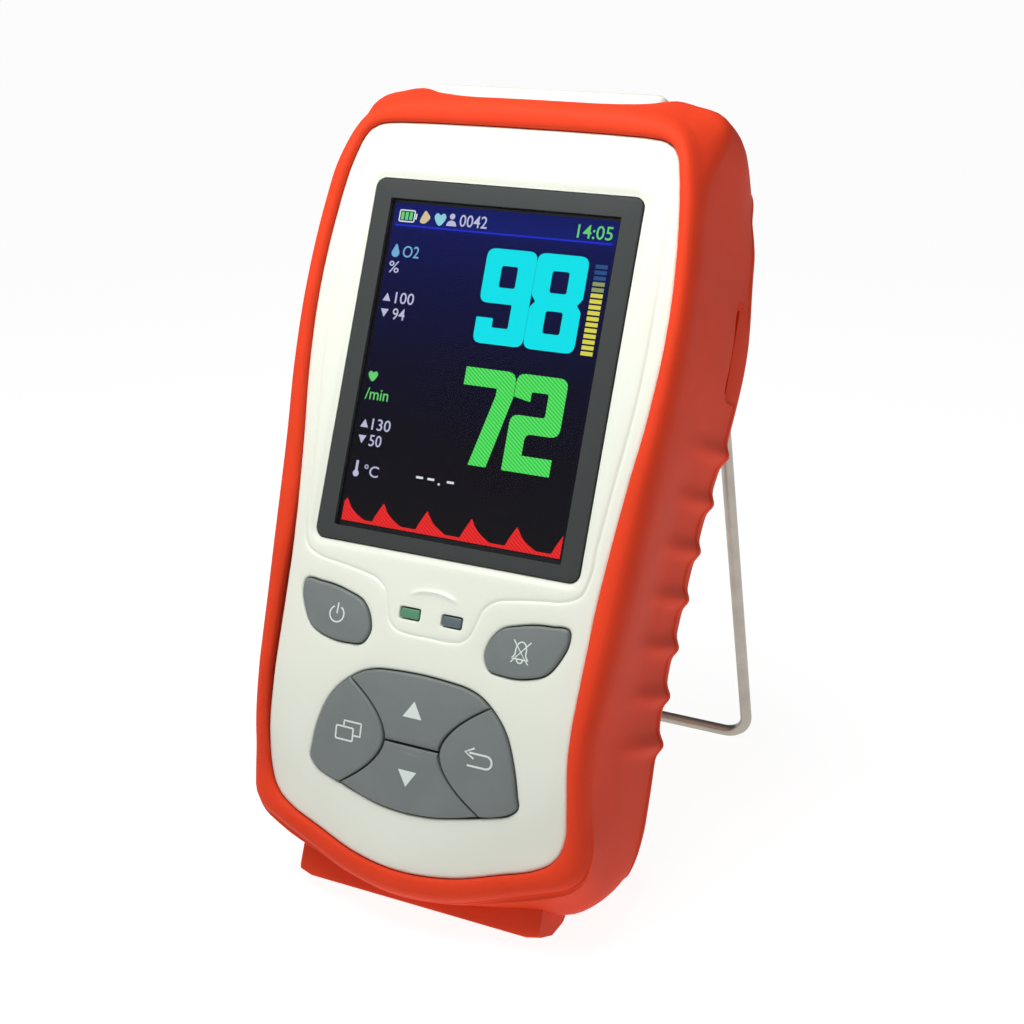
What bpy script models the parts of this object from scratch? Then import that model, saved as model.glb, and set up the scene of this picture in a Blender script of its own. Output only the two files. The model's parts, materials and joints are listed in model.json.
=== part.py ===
"""Handheld patient monitor in a rubber boot, leaning back on its folding wire stand.

The device is built upright in its own frame, in millimetres: X across the front, Y from the display
towards the back, Z up along the body, with the origin in the middle of the display. A root empty then
leans it back by LEAN and lifts it so that its foot and the bar of the stand rest on Z = 0.
"""
from math import acos, atan2, cos, exp, pi, radians, sin, sqrt, tan

import bmesh
import bpy
from mathutils import Vector

MM = 0.001
GAP = 0.3

# Stance of the device on its stand.
LEAN = radians(22.71)
HEEL_Y, HEEL_Z = 19.0, -94.5   # the foot's lowest edge, with the bevel behind it on the floor
FLOOR_DROP = HEEL_Y * sin(LEAN) - HEEL_Z * cos(LEAN)
CENTRE_BACK = 18.0     # from the middle of the display back to the middle of the footprint

# Half outlines from the middle of the top edge to the middle of the bottom edge, as (x, z).
BOOT_OUTER = [
    (0, 48.6), (12, 48.6), (20.5, 48.5), (25.5, 48.0), (28.9, 46.8), (31.2, 44.9), (32.8, 42.2), (34.1, 38.6),
    (35.2, 34.5), (36.1, 28), (37.1, 12), (36.8, -2), (35.8, -15), (34.7, -34), (33.7, -48), (33.0, -60),
    (33.3, -70), (33.8, -77), (33.1, -80.8), (30.8, -83.2), (27, -84.8), (19.5, -87.6), (10, -90.8), (0, -91.9),
]
BOOT_REAR = [          # fuller than the front: the skin flares out to it
    (0, 50.5), (12, 50.6), (21, 51.4), (24.8, 52.1), (28.8, 51.4), (32.2, 50.6), (34.4, 49.0), (35.4, 46.0),
    (35.2, 40.5), (35.8, 28.5), (37.3, 12), (36.4, -2), (34.5, -15), (32.95, -34), (32.7, -48), (33.2, -60),
    (33.5, -70), (33.4, -78), (32.9, -82.6), (31.6, -86.4), (29.0, -89.0), (20, -91.2), (10, -92.0), (0, -92.2),
]
BOOT_OPENING = [
    (0, 43.3), (12, 43.3), (20.5, 43.25), (25, 43.1), (27.6, 42.7), (29.1, 41.8), (30.2, 40.2), (31.0, 37.6),
    (31.9, 33.5), (32.7, 28), (33.8, 11.5), (33.2, -2), (31.7, -15), (30.0, -34), (29.5, -48), (29.3, -60),
    (29.7, -70), (29.5, -75), (28.7, -77.6), (27.2, -79.6), (24.5, -81.3), (18.5, -83.5), (9.5, -86.3),
    (0, -87.2),
]
OUTLINE_STEP = 6.0

# Places between the two outlines: 0 is the boot's outer skin, 1 the edge of its front opening.
CAVITY = 0.60          # inside of the boot's wall
CASE_OUTER = 0.66      # outside of both housings
FACE_EDGE = 1.06       # edge of the raised front face, inside the boot's lip
CASE_INNER = 1.10      # inside of both housings

# Depths along Y.
LIP_FRONT = -2.0
FACE_FRONT = -0.7
FACE_STEP = 0.6
FACE_INNER = 1.7
PARTING = 7.7
CASE_BACK = 32.1
CASE_BACK_INNER = 30.1
BOOT_BACK = 35.1
BOOT_BACK_INNER = CASE_BACK + GAP
BEND_STOPS = (17.0, 21.3, 25.5, 29.0)   # where the straight runs of the bent top and bottom are broken

# Grip ribs on both sides of the boot.
RIB_TOP = -5.5
RIB_PITCH = 8.9
RIB_COUNT = 7
RIB_HEIGHT = 1.25
RIB_WIDTH = 1.6

# Rounding of the back: the top edge drops and the bottom edge rises towards the back.
TOP_BEND_START, TOP_BEND_RADIUS = 10.0, 36.0
BOTTOM_BEND_START, BOTTOM_BEND_RADIUS = 20.0, 22.0
CHIN_LIMIT = 6.6       # most that the chin of the front face falls back
MIDDLE = -21.0         # height of the middle of the front face

# Display stack.
WINDOW_SIZE, WINDOW_MIDDLE = (51.4, 64.9), 0.35
WINDOW_FRONT, WINDOW_BACK = -0.6, 0.1
GASKET_FRONT, GASKET_BACK = 0.35, 0.65
LEDGE = 0.95
PANEL_SIZE = (47.6, 62.4)
PANEL_FRONT, PANEL_BACK = 0.4, 3.2
TRAY_SIZE, TRAY_FRONT, TRAY_BACK = (50.4, 66.0), 2.3, 4.4

# Circuit board and what stands on it.
BOARD_X, BOARD_BOTTOM, BOARD_TOP = 25.2, -72.0, 34.0
BOARD_FRONT, BOARD_BACK = 6.0, 7.6

# Keys.
KEY_RISE = 0.45
KEY_BACK = 4.3
KEY_TRAVEL = 0.5
KEY_GAP = 0.35
CLUSTER_SHIFT = 0.35   # of the four-way pad, to the right
SPLIT_WAIST, SPLIT_MIDDLE, SPLIT_RATE, SPLIT_POWER = 5.4, -64.7, 0.15, 1.8
SPLIT_REACH = 9.35
ROUND_KEY = [
    (25.8, -40.2), (22.4, -40.0), (16.7, -40.9), (13.7, -42.0), (11.8, -44.6), (11.4, -47.1),
    (12.5, -49.0), (15.2, -49.5), (19.9, -49.1), (23.0, -47.8), (25.0, -44.9), (26.0, -41.6),
]

# Stand.
WIRE_RADIUS = 1.2
PIVOT_Y, PIVOT_Z = 36.7, 10.6
LEG_X, LEG_LENGTH = 31.1, 93.4
PIN_END_X = 24.6
LUG_X = (24.0, 28.5)
BAR_BEND, PIN_BEND = 5.5, 2.4

# Boot's rear window and foot.
REAR_WINDOW_X, REAR_WINDOW_Z = 24.2, (-72.0, -5.5)
FOOT_X = 24.5

# Battery door and cells.
DOOR_X, DOOR_Z = 22.2, (-69.8, -8.2)
CELL_RADIUS, CELL_PITCH, CELL_Z, CELL_Y = 7.1, 14.9, (-67.8, -17.4), 21.9

# Head with the sockets.
HEAD_X, HEAD_Y, HEAD_TOP = 22.7, (8.0, 25.5), 53.1
SOCKET_X, JACK_X, SOCKET_Y = -4.5, 14.5, 16.5

# Case screws, as (x, z, tip depth).
CASE_SCREWS = {
    "case_screw_top_left": (-28.4, 30.0, 3.4), "case_screw_top_right": (28.4, 30.0, 3.4),
    "case_screw_bottom_left": (-17.0, -75.8, 6.2), "case_screw_bottom_right": (17.0, -75.8, 6.2),
}
POST_RADIUS, SCREW_RADIUS, SCREW_HEAD_RADIUS = 2.7, 1.2, 2.2


# ---------------------------------------------------------------- scene set-up

def clear_scene():
    for obj in list(bpy.data.objects):
        bpy.data.objects.remove(obj, do_unlink=True)


def new_collection(name):
    collection = bpy.data.collections.new(name)
    bpy.context.scene.collection.children.link(collection)
    return collection


def material(name, color, roughness, metallic=0.0):
    found = bpy.data.materials.get(name)
    if found:
        return found
    made = bpy.data.materials.new(name)
    made.use_nodes = True
    shader = made.node_tree.nodes["Principled BSDF"]
    shader.inputs["Base Color"].default_value = (*color, 1.0)
    shader.inputs["Roughness"].default_value = roughness
    shader.inputs["Metallic"].default_value = metallic
    made.diffuse_color = (*color, 1.0)
    return made


clear_scene()
PARTS = new_collection("patient_monitor")
CUTTERS = new_collection("cutters")

RED_RUBBER = material("red_rubber", (0.80, 0.07, 0.03), 0.55)
WHITE_PLASTIC = material("white_plastic", (0.82, 0.84, 0.81), 0.35)
GREY_RUBBER = material("grey_rubber", (0.17, 0.19, 0.19), 0.6)
WINDOW_GREY = material("window_grey", (0.045, 0.05, 0.05), 0.12)
BLACK_FOAM = material("black_foam", (0.02, 0.02, 0.02), 0.9)
PANEL_GLASS = material("panel_glass", (0.01, 0.012, 0.03), 0.1)
STEEL = material("steel", (0.62, 0.58, 0.52), 0.3, 1.0)
BOARD_GREEN = material("board_green", (0.02, 0.16, 0.07), 0.5)
CLEAR_GREEN = material("clear_green", (0.05, 0.27, 0.12), 0.25)
CLEAR_BLUE = material("clear_blue", (0.06, 0.09, 0.12), 0.25)
LED_WHITE = material("led_white", (0.8, 0.78, 0.7), 0.4)
BLACK_PLASTIC = material("black_plastic", (0.03, 0.03, 0.03), 0.45)
CELL_WRAP = material("cell_wrap", (0.10, 0.12, 0.16), 0.35)
BRASS = material("brass", (0.72, 0.55, 0.25), 0.3, 1.0)

ROOT = bpy.data.objects.new("device_frame", None)
PARTS.objects.link(ROOT)
ROOT.rotation_euler.x = -LEAN
ROOT.location = (0, -CENTRE_BACK * MM, FLOOR_DROP * MM)


# ---------------------------------------------------------------- mesh helpers

def mesh_object(name, bm, mat, collection=None, location=(0, 0, 0), smooth=True):
    """Make an object of a bmesh whose points are in millimetres about location."""
    bmesh.ops.scale(bm, vec=(MM, MM, MM), verts=bm.verts)
    bmesh.ops.recalc_face_normals(bm, faces=bm.faces)
    mesh = bpy.data.meshes.new(name)
    bm.to_mesh(mesh)
    bm.free()
    if smooth:
        mesh.shade_smooth()
        mesh.set_sharp_from_angle(angle=radians(35))
    mesh.materials.append(mat)
    obj = bpy.data.objects.new(name, mesh)
    (collection or PARTS).objects.link(obj)
    obj.parent = ROOT
    obj.location = Vector(location) * MM
    return obj


def loft(rings, closed=False, offset=(0, 0, 0)):
    """Bridge rings of equally many points; the ends are capped unless the rings close on themselves."""
    bm = bmesh.new()
    rows = [[bm.verts.new(Vector(point) - Vector(offset)) for point in ring] for ring in rings]
    pairs = list(zip(rows, rows[1:]))
    if closed:
        pairs.append((rows[-1], rows[0]))
    for low, high in pairs:
        for i in range(len(low)):
            j = (i + 1) % len(low)
            bm.faces.new((low[i], low[j], high[j], high[i]))
    if not closed:
        bm.faces.new(rows[0])
        bm.faces.new(rows[-1])
    bmesh.ops.connect_verts_nonplanar(bm, faces=bm.faces, angle_limit=radians(0.1))
    return bm


def box(name, low, high, mat, collection=None, bevel=0.0):
    low, high = Vector(low), Vector(high)
    bm = bmesh.new()
    bmesh.ops.create_cube(bm, size=1.0)
    bmesh.ops.scale(bm, vec=high - low, verts=bm.verts)
    if bevel:
        bmesh.ops.bevel(bm, geom=bm.edges[:], offset=bevel, segments=2, profile=0.5, affect="EDGES")
    return mesh_object(name, bm, mat, collection, (low + high) / 2)


def cylinder(name, centre, radius, front, back, mat, collection=None, sides=16, axis="y"):
    """A cylinder along Y or X from front to back; centre gives the two other coordinates."""
    bm = bmesh.new()
    bmesh.ops.create_cone(bm, cap_ends=True, segments=sides, radius1=radius, radius2=radius,
                          depth=back - front)
    for vert in bm.verts:
        x, y, z = vert.co
        vert.co = (x, z, y) if axis == "y" else (z, x, y)
    middle = (front + back) / 2
    place = (centre[0], middle, centre[1]) if axis == "y" else (middle, *centre)
    return mesh_object(name, bm, mat, collection, place)


def combine(target, tool, operation):
    modifier = target.modifiers.new(operation.lower() + "_" + tool.name, "BOOLEAN")
    modifier.operation = operation
    modifier.object = tool
    modifier.solver = "EXACT"
    tool.hide_render = True
    tool.display_type = "WIRE"


# ---------------------------------------------------------------- outlines

def smoothstep(value, start, end):
    t = min(max((value - start) / (end - start), 0.0), 1.0)
    return t * t * (3 - 2 * t)


class Loop:
    """A closed smooth curve through a half outline and its mirror image."""

    def __init__(self, half):
        mirrored = [(-x, z) for x, z in reversed(half[1:-1])]
        self.points = [Vector(p) for p in half + mirrored]
        count = len(self.points)
        chords = [(self.points[(i + 1) % count] - self.points[i]) for i in range(count)]
        self.lengths = [chord.length for chord in chords]
        self.slopes = []
        for i in range(count):
            before, after = self.lengths[i - 1], self.lengths[i]
            pull = chords[i - 1] / before * after + chords[i] / after * before
            self.slopes.append(pull / (before + after))

    def at(self, segment, t):
        following = (segment + 1) % len(self.points)
        length = self.lengths[segment]
        return (
            self.points[segment] * (2 * t ** 3 - 3 * t ** 2 + 1)
            + self.slopes[segment] * length * (t ** 3 - 2 * t ** 2 + t)
            + self.points[following] * (3 * t ** 2 - 2 * t ** 3)
            + self.slopes[following] * length * (t ** 3 - t ** 2)
        )

    def find_height(self, segment, height):
        """The t at which a segment that runs steadily up or down passes a height."""
        low, high = 0.0, 1.0
        falling = self.at(segment, 0).y > self.at(segment, 1).y
        for _ in range(30):
            middle = (low + high) / 2
            if (self.at(segment, middle).y > height) == falling:
                low = middle
            else:
                high = middle
        return (low + high) / 2


OUTER = Loop(BOOT_OUTER)
REAR = Loop(BOOT_REAR)
OPENING = Loop(BOOT_OPENING)
RIB_HEIGHTS = [RIB_TOP - RIB_PITCH * i for i in range(RIB_COUNT)]


def outline_samples(rib_shifts):
    """Where to read the outlines: evenly, and along the ribbed sides at these shifts from each crest."""
    stops = [crest + shift for crest in RIB_HEIGHTS for shift in rib_shifts]
    samples = []
    for i, length in enumerate(OUTER.lengths):
        start, end = OUTER.at(i, 0), OUTER.at(i, 1)
        samples.append((i, 0.0))
        low, high = sorted((start.y, end.y))
        if abs(start.x) > 32.5 and low < RIB_TOP + 2 and high > RIB_HEIGHTS[-1] - 2:
            inside = [z for z in stops if low + 0.5 < z < high - 0.5]
            samples += sorted((i, OUTER.find_height(i, z)) for z in inside)
        else:
            pieces = max(1, round(length / OUTLINE_STEP))
            samples += [(i, k / pieces) for k in range(1, pieces)]
    return samples


RIBBED = outline_samples((RIB_WIDTH, 0, -RIB_WIDTH, -RIB_PITCH / 2))
PLAIN = outline_samples(())


def outline_normal(segment, t):
    ahead = OUTER.at(segment, min(t + 0.01, 1.0)) - OUTER.at(segment, max(t - 0.01, 0.0))
    return Vector((-ahead.y, ahead.x)).normalized()


def crown(x, z):
    """How far the front face falls back: towards the chin, and a little at its top corners."""
    below = max(0.0, -55.0 - z)
    above = max(0.0, z - 32.0)
    across = abs(x) / 29.0
    chin = (0.012 * below ** 2 + 0.04 * below) * (0.33 + 0.67 * across ** 1.6)
    chin /= (1 + (chin / CHIN_LIMIT) ** 6) ** (1 / 6)
    return chin + 0.008 * above ** 2 * across ** 2


def settle(x, y, z):
    """Bend a point of the straight-sided body into place: rounded back edges and crowned front."""
    front_share = min(max(1 - (y - FACE_STEP) / (PARTING - FACE_STEP), 0.0), 1.0)
    depth = y + crown(x, z) * front_share
    x *= 1 - 0.052 * smoothstep(y, 16, 34) * smoothstep(z, 33, 46)
    bend = max(0.0, y - TOP_BEND_START)
    drop = TOP_BEND_RADIUS - sqrt(TOP_BEND_RADIUS ** 2 - bend ** 2)
    if z > 15:
        z -= drop * ((z - 15) / 34) ** 2
    bend = max(0.0, y - BOTTOM_BEND_START)
    rise = BOTTOM_BEND_RADIUS - sqrt(BOTTOM_BEND_RADIUS ** 2 - bend ** 2)
    if z < -60:
        z += rise * ((-60 - z) / 29) ** 2
    return (x, depth, z)


def flare(y, z):
    """How far the boot's skin has come from its front outline to its fuller rear one."""
    high = smoothstep(z, 20, 35)
    return high * smoothstep(y, -2, 10) + (1 - high) * smoothstep(y, 3, 20)


def ring(place, y, samples, ribs=0.0, shrink=1.0):
    """The outline at a place between the boot's skin and opening, at depth y, shrunk about MIDDLE."""
    points = []
    for segment, t in samples:
        outer, opening = OUTER.at(segment, t), OPENING.at(segment, t)
        skin = outer.lerp(REAR.at(segment, t), flare(y, outer.y) * max(0.0, 1 - place / CAVITY))
        point = skin.lerp(opening, place)
        if ribs and abs(outer.x) > 32:
            swell = sum(exp(-((outer.y - crest) / RIB_WIDTH) ** 2) for crest in RIB_HEIGHTS)
            point += outline_normal(segment, t) * swell * ribs * RIB_HEIGHT
        x, z = point.x * shrink, MIDDLE + (point.y - MIDDLE) * shrink
        points.append(settle(x, y, z))
    return points


def offset_outline(outline, distance):
    """Move each point of a flat (x, z) outline outwards by a distance."""
    area = sum(a[0] * b[1] - b[0] * a[1] for a, b in zip(outline, outline[1:] + outline[:1]))
    side = 1 if area > 0 else -1
    moved = []
    for i, (x, z) in enumerate(outline):
        before, after = outline[i - 1], outline[(i + 1) % len(outline)]
        into = Vector((x - before[0], z - before[1])).normalized()
        out = Vector((after[0] - x, after[1] - z)).normalized()
        normal = Vector((into.y + out.y, -into.x - out.x)).normalized() * side
        miter = max(normal.dot(Vector((into.y, -into.x)) * side), 0.5)
        moved.append((x + normal.x * distance / miter, z + normal.y * distance / miter))
    return moved


def rounded_rectangle(width, height, middle, radius, per_corner=4):
    points = []
    for corner, (sx, sz) in enumerate(((1, 1), (-1, 1), (-1, -1), (1, -1))):
        for k in range(per_corner + 1):
            angle = pi / 2 * (corner + k / per_corner)
            points.append((sx * (width / 2 - radius) + radius * cos(angle),
                           middle + sz * (height / 2 - radius) + radius * sin(angle)))
    return points


def prism(name, outline, front, back, mat, collection=None):
    rings = [[(x, y, z) for x, z in outline] for y in (front, back)]
    return mesh_object(name, loft(rings), mat, collection)


# ---------------------------------------------------------------- boot

def make_boot():
    profile = [
        (1.0, 0.3, 0), (1.0, -1.1, 0), (0.90, -1.8, 0), (0.66, LIP_FRONT, 0), (0.40, -1.7, 0),
        (0.14, -0.5, 0), (0.02, 1.7, 0), (0.0, 5.5, 0), (0.0, 10.0, 0), (0.0, 17.0, 0.35), (0.0, 27.5, 0.95),
        (0.10, 31.8, 1.0), (0.42, 34.2, 0.4), (0.95, BOOT_BACK, 0),
    ]
    rings = [ring(place, y, RIBBED, ribs) for place, y, ribs in profile]
    rings += [rear_window_ring(BOOT_BACK), rear_window_ring(BOOT_BACK_INNER)]
    rings += [ring(CAVITY, y, RIBBED) for y in (BOOT_BACK_INNER, *reversed(BEND_STOPS), 0.3)]
    boot = mesh_object("rubber_boot", loft(rings, closed=True), RED_RUBBER)
    for tool in (make_foot(), *make_lugs()):
        combine(boot, tool, "UNION")
    for side in (-1, 1):
        name = "left" if side < 0 else "right"
        slot = [(y + 32.65, z) for y, z in rounded_rectangle(18.7, 18.5, 12.75, 3.7, 3)]
        floor = [(side * (35.5 + 0.2 * (y - 23.3)), y, z) for y, z in slot]
        rings = [floor, [(side * 45.0, y, z) for y, z in slot]]
        combine(boot, mesh_object("side_slot_" + name, loft(rings), RED_RUBBER, CUTTERS), "DIFFERENCE")
        combine(boot, cylinder("pin_hole_" + name, (PIVOT_Y, PIVOT_Z), WIRE_RADIUS + GAP,
                               *sorted((side * 22.0, side * 30.0)), RED_RUBBER, CUTTERS, 12, "x"),
                "DIFFERENCE")
    combine(boot, box("head_notch", (-HEAD_X - 0.4, HEAD_Y[0] - 0.4, 30.0),
                      (HEAD_X + 0.4, HEAD_Y[1] + 0.4, 60.0), RED_RUBBER, CUTTERS), "DIFFERENCE")
    return boot


def rear_window_ring(y):
    """The boot's rear window: a rounded rectangle read in the directions of the outline's points."""
    low, high = REAR_WINDOW_Z
    middle, half_height = (low + high) / 2, (high - low) / 2
    points = []
    for segment, t in RIBBED:
        outer = OUTER.at(segment, t)
        angle = atan2((outer.y - MIDDLE) / 70, outer.x / 37)
        reach = (abs(cos(angle)) ** 7 + abs(sin(angle)) ** 7) ** (-1 / 7)
        points.append((REAR_WINDOW_X * reach * cos(angle), y, middle + half_height * reach * sin(angle)))
    return points


def make_foot():
    """The block under the boot, with the bevel at its back that lies on the floor."""
    rings = []
    for x in (-FOOT_X, -16, -8, 0, 8, 16, FOOT_X):
        top = -90.6 + 0.0101 * x ** 2
        bevel_end = HEEL_Z + 4.2 * tan(LEAN)
        section = [(12.2, top), (12.2, -93.6), (13.2, -94.4), (HEEL_Y, HEEL_Z), (HEEL_Y + 4.2, bevel_end),
                   (24.0, -91.4), (24.0, top)]
        rings.append([(x, y, z) for y, z in section])
    return mesh_object("foot_block", loft(rings), RED_RUBBER, CUTTERS)


def make_lugs():
    lugs = []
    for name, side in (("lug_left", -1), ("lug_right", 1)):
        low, high = sorted(side * x for x in LUG_X)
        lugs.append(box(name, (low, 33.8, PIVOT_Z - 3.2), (high, 39.6, PIVOT_Z + 3.2), RED_RUBBER,
                        CUTTERS, bevel=1.0))
    return lugs


# ---------------------------------------------------------------- housings

def make_front_housing():
    face = [(1.0, FACE_FRONT), (0.84, FACE_FRONT), (0.6, FACE_FRONT), (0.3, FACE_FRONT)]
    rings = [ring(FACE_EDGE, y, PLAIN, shrink=shrink) for shrink, y in reversed(face)]
    rings += [ring(FACE_EDGE, FACE_STEP, PLAIN), ring(CASE_OUTER, FACE_STEP, PLAIN)]
    rings += [ring(CASE_OUTER, PARTING, PLAIN), ring(CASE_INNER, PARTING, PLAIN)]
    rings += [ring(CASE_INNER, FACE_INNER + 0.8, PLAIN)]
    rings += [ring(CASE_INNER, FACE_INNER, PLAIN, shrink=shrink) for shrink in (0.97, 0.8, 0.6, 0.3)]
    housing = mesh_object("front_housing", loft(rings), WHITE_PLASTIC)
    for name, (x, z, tip) in CASE_SCREWS.items():
        front = 1.0 if z > 0 else 4.6
        combine(housing, cylinder(name + "_boss", (x, z), POST_RADIUS, front, PARTING - 0.2,
                                  WHITE_PLASTIC, CUTTERS), "UNION")
        combine(housing, cylinder(name + "_pilot", (x, z), SCREW_RADIUS + GAP, tip - GAP, PARTING + 1,
                                  WHITE_PLASTIC, CUTTERS), "DIFFERENCE")
    for name, outline in (("power_hole", power_outline()), ("silence_hole", silence_outline()),
                          ("cluster_hole", cluster_outline())):
        hole = offset_outline(outline, KEY_GAP)
        combine(housing, prism(name, hole, -5.0, 7.2, WHITE_PLASTIC, CUTTERS), "DIFFERENCE")
    width, height = WINDOW_SIZE
    recess = rounded_rectangle(width + 0.6, height + 0.6, WINDOW_MIDDLE, 2.2)
    combine(housing, prism("window_recess", recess, -4.0, LEDGE, WHITE_PLASTIC, CUTTERS), "DIFFERENCE")
    width, height = PANEL_SIZE
    aperture = rounded_rectangle(width + 0.6, height + 0.6, 0.0, 0.6)
    combine(housing, prism("panel_aperture", aperture, -4.0, 4.0, WHITE_PLASTIC, CUTTERS), "DIFFERENCE")
    for name, (low, high) in light_windows().items():
        combine(housing, box(name + "_hole", (low[0] - GAP, -4, low[2] - GAP),
                             (high[0] + GAP, 4, high[2] + GAP), WHITE_PLASTIC, CUTTERS), "DIFFERENCE")
    return housing


def make_rear_housing():
    depths = (PARTING + GAP, *BEND_STOPS)
    rings = [ring(CASE_OUTER, y, PLAIN) for y in (CASE_BACK, *reversed(depths))]
    rings += [ring(CASE_INNER, y, PLAIN) for y in (*depths, CASE_BACK_INNER)]
    housing = mesh_object("rear_housing", loft(rings), WHITE_PLASTIC)
    combine(housing, box("head_block", (-HEAD_X, HEAD_Y[0], 38.0), (HEAD_X, HEAD_Y[1], HEAD_TOP),
                         WHITE_PLASTIC, CUTTERS, bevel=1.2), "UNION")
    combine(housing, box("door_ledge", (-24.4, 27.2, -15.8), (24.4, 30.6, -5.0), WHITE_PLASTIC, CUTTERS),
            "UNION")
    for name, (x, z, _) in CASE_SCREWS.items():
        combine(housing, cylinder(name + "_post", (x, z), POST_RADIUS, PARTING + GAP + 0.2, 30.6,
                                  WHITE_PLASTIC, CUTTERS), "UNION")
        combine(housing, cylinder(name + "_hole", (x, z), SCREW_RADIUS + GAP, 6.0, 34.0, WHITE_PLASTIC,
                                  CUTTERS), "DIFFERENCE")
        combine(housing, cylinder(name + "_seat", (x, z), SCREW_HEAD_RADIUS + GAP, 29.6, 34.0,
                                  WHITE_PLASTIC, CUTTERS), "DIFFERENCE")
    low, high = DOOR_Z
    combine(housing, box("door_pocket", (-DOOR_X - GAP, 29.8, low - GAP), (DOOR_X + GAP, 40, high + GAP),
                         WHITE_PLASTIC, CUTTERS), "DIFFERENCE")
    combine(housing, cylinder("door_pilot", (0, -12.0), SCREW_RADIUS + GAP, 20.0, 34.0, WHITE_PLASTIC,
                              CUTTERS), "DIFFERENCE")
    combine(housing, prism_up("socket_recess", d_outline(19.4, 11.0, SOCKET_X), 44.0, 60.0), "DIFFERENCE")
    combine(housing, prism_up("jack_recess", circle_outline(JACK_X, 4.3), 44.0, 60.0), "DIFFERENCE")
    combine(housing, box("head_room", (-HEAD_X + 2, HEAD_Y[0] - 2, 30.0), (HEAD_X - 2, 23.5, 45.0),
                         WHITE_PLASTIC, CUTTERS), "DIFFERENCE")
    return housing


def d_outline(width, depth, middle_x):
    """A D-shaped socket's outline as (x, y): the front side is the shorter one."""
    corners = [(-0.5, 0.5), (0.5, 0.5), (0.44, -0.5), (-0.44, -0.5)]
    return [(middle_x + width * u, SOCKET_Y + depth * v) for u, v in corners]


def circle_outline(middle_x, radius, sides=16):
    angles = [2 * pi * k / sides for k in range(sides)]
    return [(middle_x + radius * cos(a), SOCKET_Y + radius * sin(a)) for a in angles]


def prism_up(name, outline, low, high, mat=None, collection=None):
    """An upright prism of an (x, y) outline."""
    rings = [[(x, y, z) for x, y in outline] for z in (low, high)]
    return mesh_object(name, loft(rings), mat or WHITE_PLASTIC, collection or CUTTERS)


# ---------------------------------------------------------------- display

def make_display():
    width, height = WINDOW_SIZE
    outline = rounded_rectangle(width, height, WINDOW_MIDDLE, 2.0)
    prism("display_window", outline, WINDOW_FRONT, WINDOW_BACK, WINDOW_GREY)
    outer = rounded_rectangle(width - 0.4, height - 0.4, WINDOW_MIDDLE, 1.8)
    inner = rounded_rectangle(PANEL_SIZE[0] + 0.8, PANEL_SIZE[1] + 0.8, 0.0, 0.8)
    rings = [[(x, y, z) for x, z in outline] for outline, y in (
        (outer, GASKET_FRONT), (outer, GASKET_BACK), (inner, GASKET_BACK), (inner, GASKET_FRONT))]
    mesh_object("window_gasket", loft(rings, closed=True), BLACK_FOAM)
    width, height = PANEL_SIZE
    box("lcd_panel", (-width / 2, PANEL_FRONT, -height / 2), (width / 2, PANEL_BACK, height / 2),
        PANEL_GLASS)
    tray_width, tray_height = TRAY_SIZE
    tray = box("lcd_frame", (-tray_width / 2, TRAY_FRONT, -tray_height / 2),
               (tray_width / 2, TRAY_BACK, tray_height / 2), STEEL)
    pocket = box("lcd_pocket", (-width / 2 - GAP, 0, -height / 2 - GAP),
                 (width / 2 + GAP, PANEL_BACK + GAP, height / 2 + GAP), STEEL, CUTTERS)
    combine(tray, pocket, "DIFFERENCE")


# ---------------------------------------------------------------- board

def light_windows():
    """Corners of the two light pipes under the display."""
    return {
        "light_pipe_left": ((-5.9, FACE_FRONT - 0.15, -43.3), (-2.3, 4.5, -41.6)),
        "light_pipe_right": ((2.3, FACE_FRONT - 0.15, -43.3), (5.9, 4.5, -41.6)),
    }


def make_board():
    box("main_board", (-BOARD_X, BOARD_FRONT, BOARD_BOTTOM), (BOARD_X, BOARD_BACK, BOARD_TOP), BOARD_GREEN)
    for name, place in KEY_CENTRES.items():
        cylinder(name.replace("_key", "_switch"), place, 2.6, 5.1, BOARD_FRONT - GAP, STEEL)
    for (name, (low, high)), mat in zip(light_windows().items(), (CLEAR_GREEN, CLEAR_BLUE)):
        box(name, low, high, mat)
        led = name.replace("light_pipe", "status_led")
        middle = (low[0] + high[0]) / 2
        box(led, (middle - 1.6, 4.8, -43.2), (middle + 1.6, BOARD_FRONT - GAP, -41.6), LED_WHITE)
    cylinder("buzzer", (0, 10.0), 6.0, BOARD_BACK + GAP, 13.5, BLACK_PLASTIC, sides=24)


# ---------------------------------------------------------------- keys

def split_x(z, shift):
    """Curved gap between the side keys and the middle keys, moved outwards by shift."""
    return SPLIT_WAIST + SPLIT_RATE * abs(z - SPLIT_MIDDLE) ** SPLIT_POWER + shift


def silence_outline():
    loop = [Vector(p) for p in ROUND_KEY]
    points = []
    for i, point in enumerate(loop):
        following, before, after = loop[(i + 1) % len(loop)], loop[i - 1], loop[(i + 2) % len(loop)]
        middle = (point + following) * 0.5625 - (before + after) * 0.0625
        points += [tuple(point), tuple(middle)]
    return points


def power_outline():
    return [(-x, z) for x, z in reversed(silence_outline())]


def nudged(outline):
    """An outline of the four-way pad, moved to where the pad sits."""
    return [(x + CLUSTER_SHIFT, z) for x, z in outline]


def side_key_outline(side):
    heights = [SPLIT_MIDDLE + SPLIT_REACH * (1 - k / 4) for k in range(9)]
    inner = [(side * split_x(z, 0.2), z) for z in heights]
    outer = [(14.9, -73.9), (19.9, -71.9), (20.4, -71.2), (20.2, -69.0), (19.2, -64.2), (17.0, -58.9),
             (15.2, -56.7), (14.1, -55.7)]
    return nudged(inner + [(side * x, z) for x, z in outer])


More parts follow.
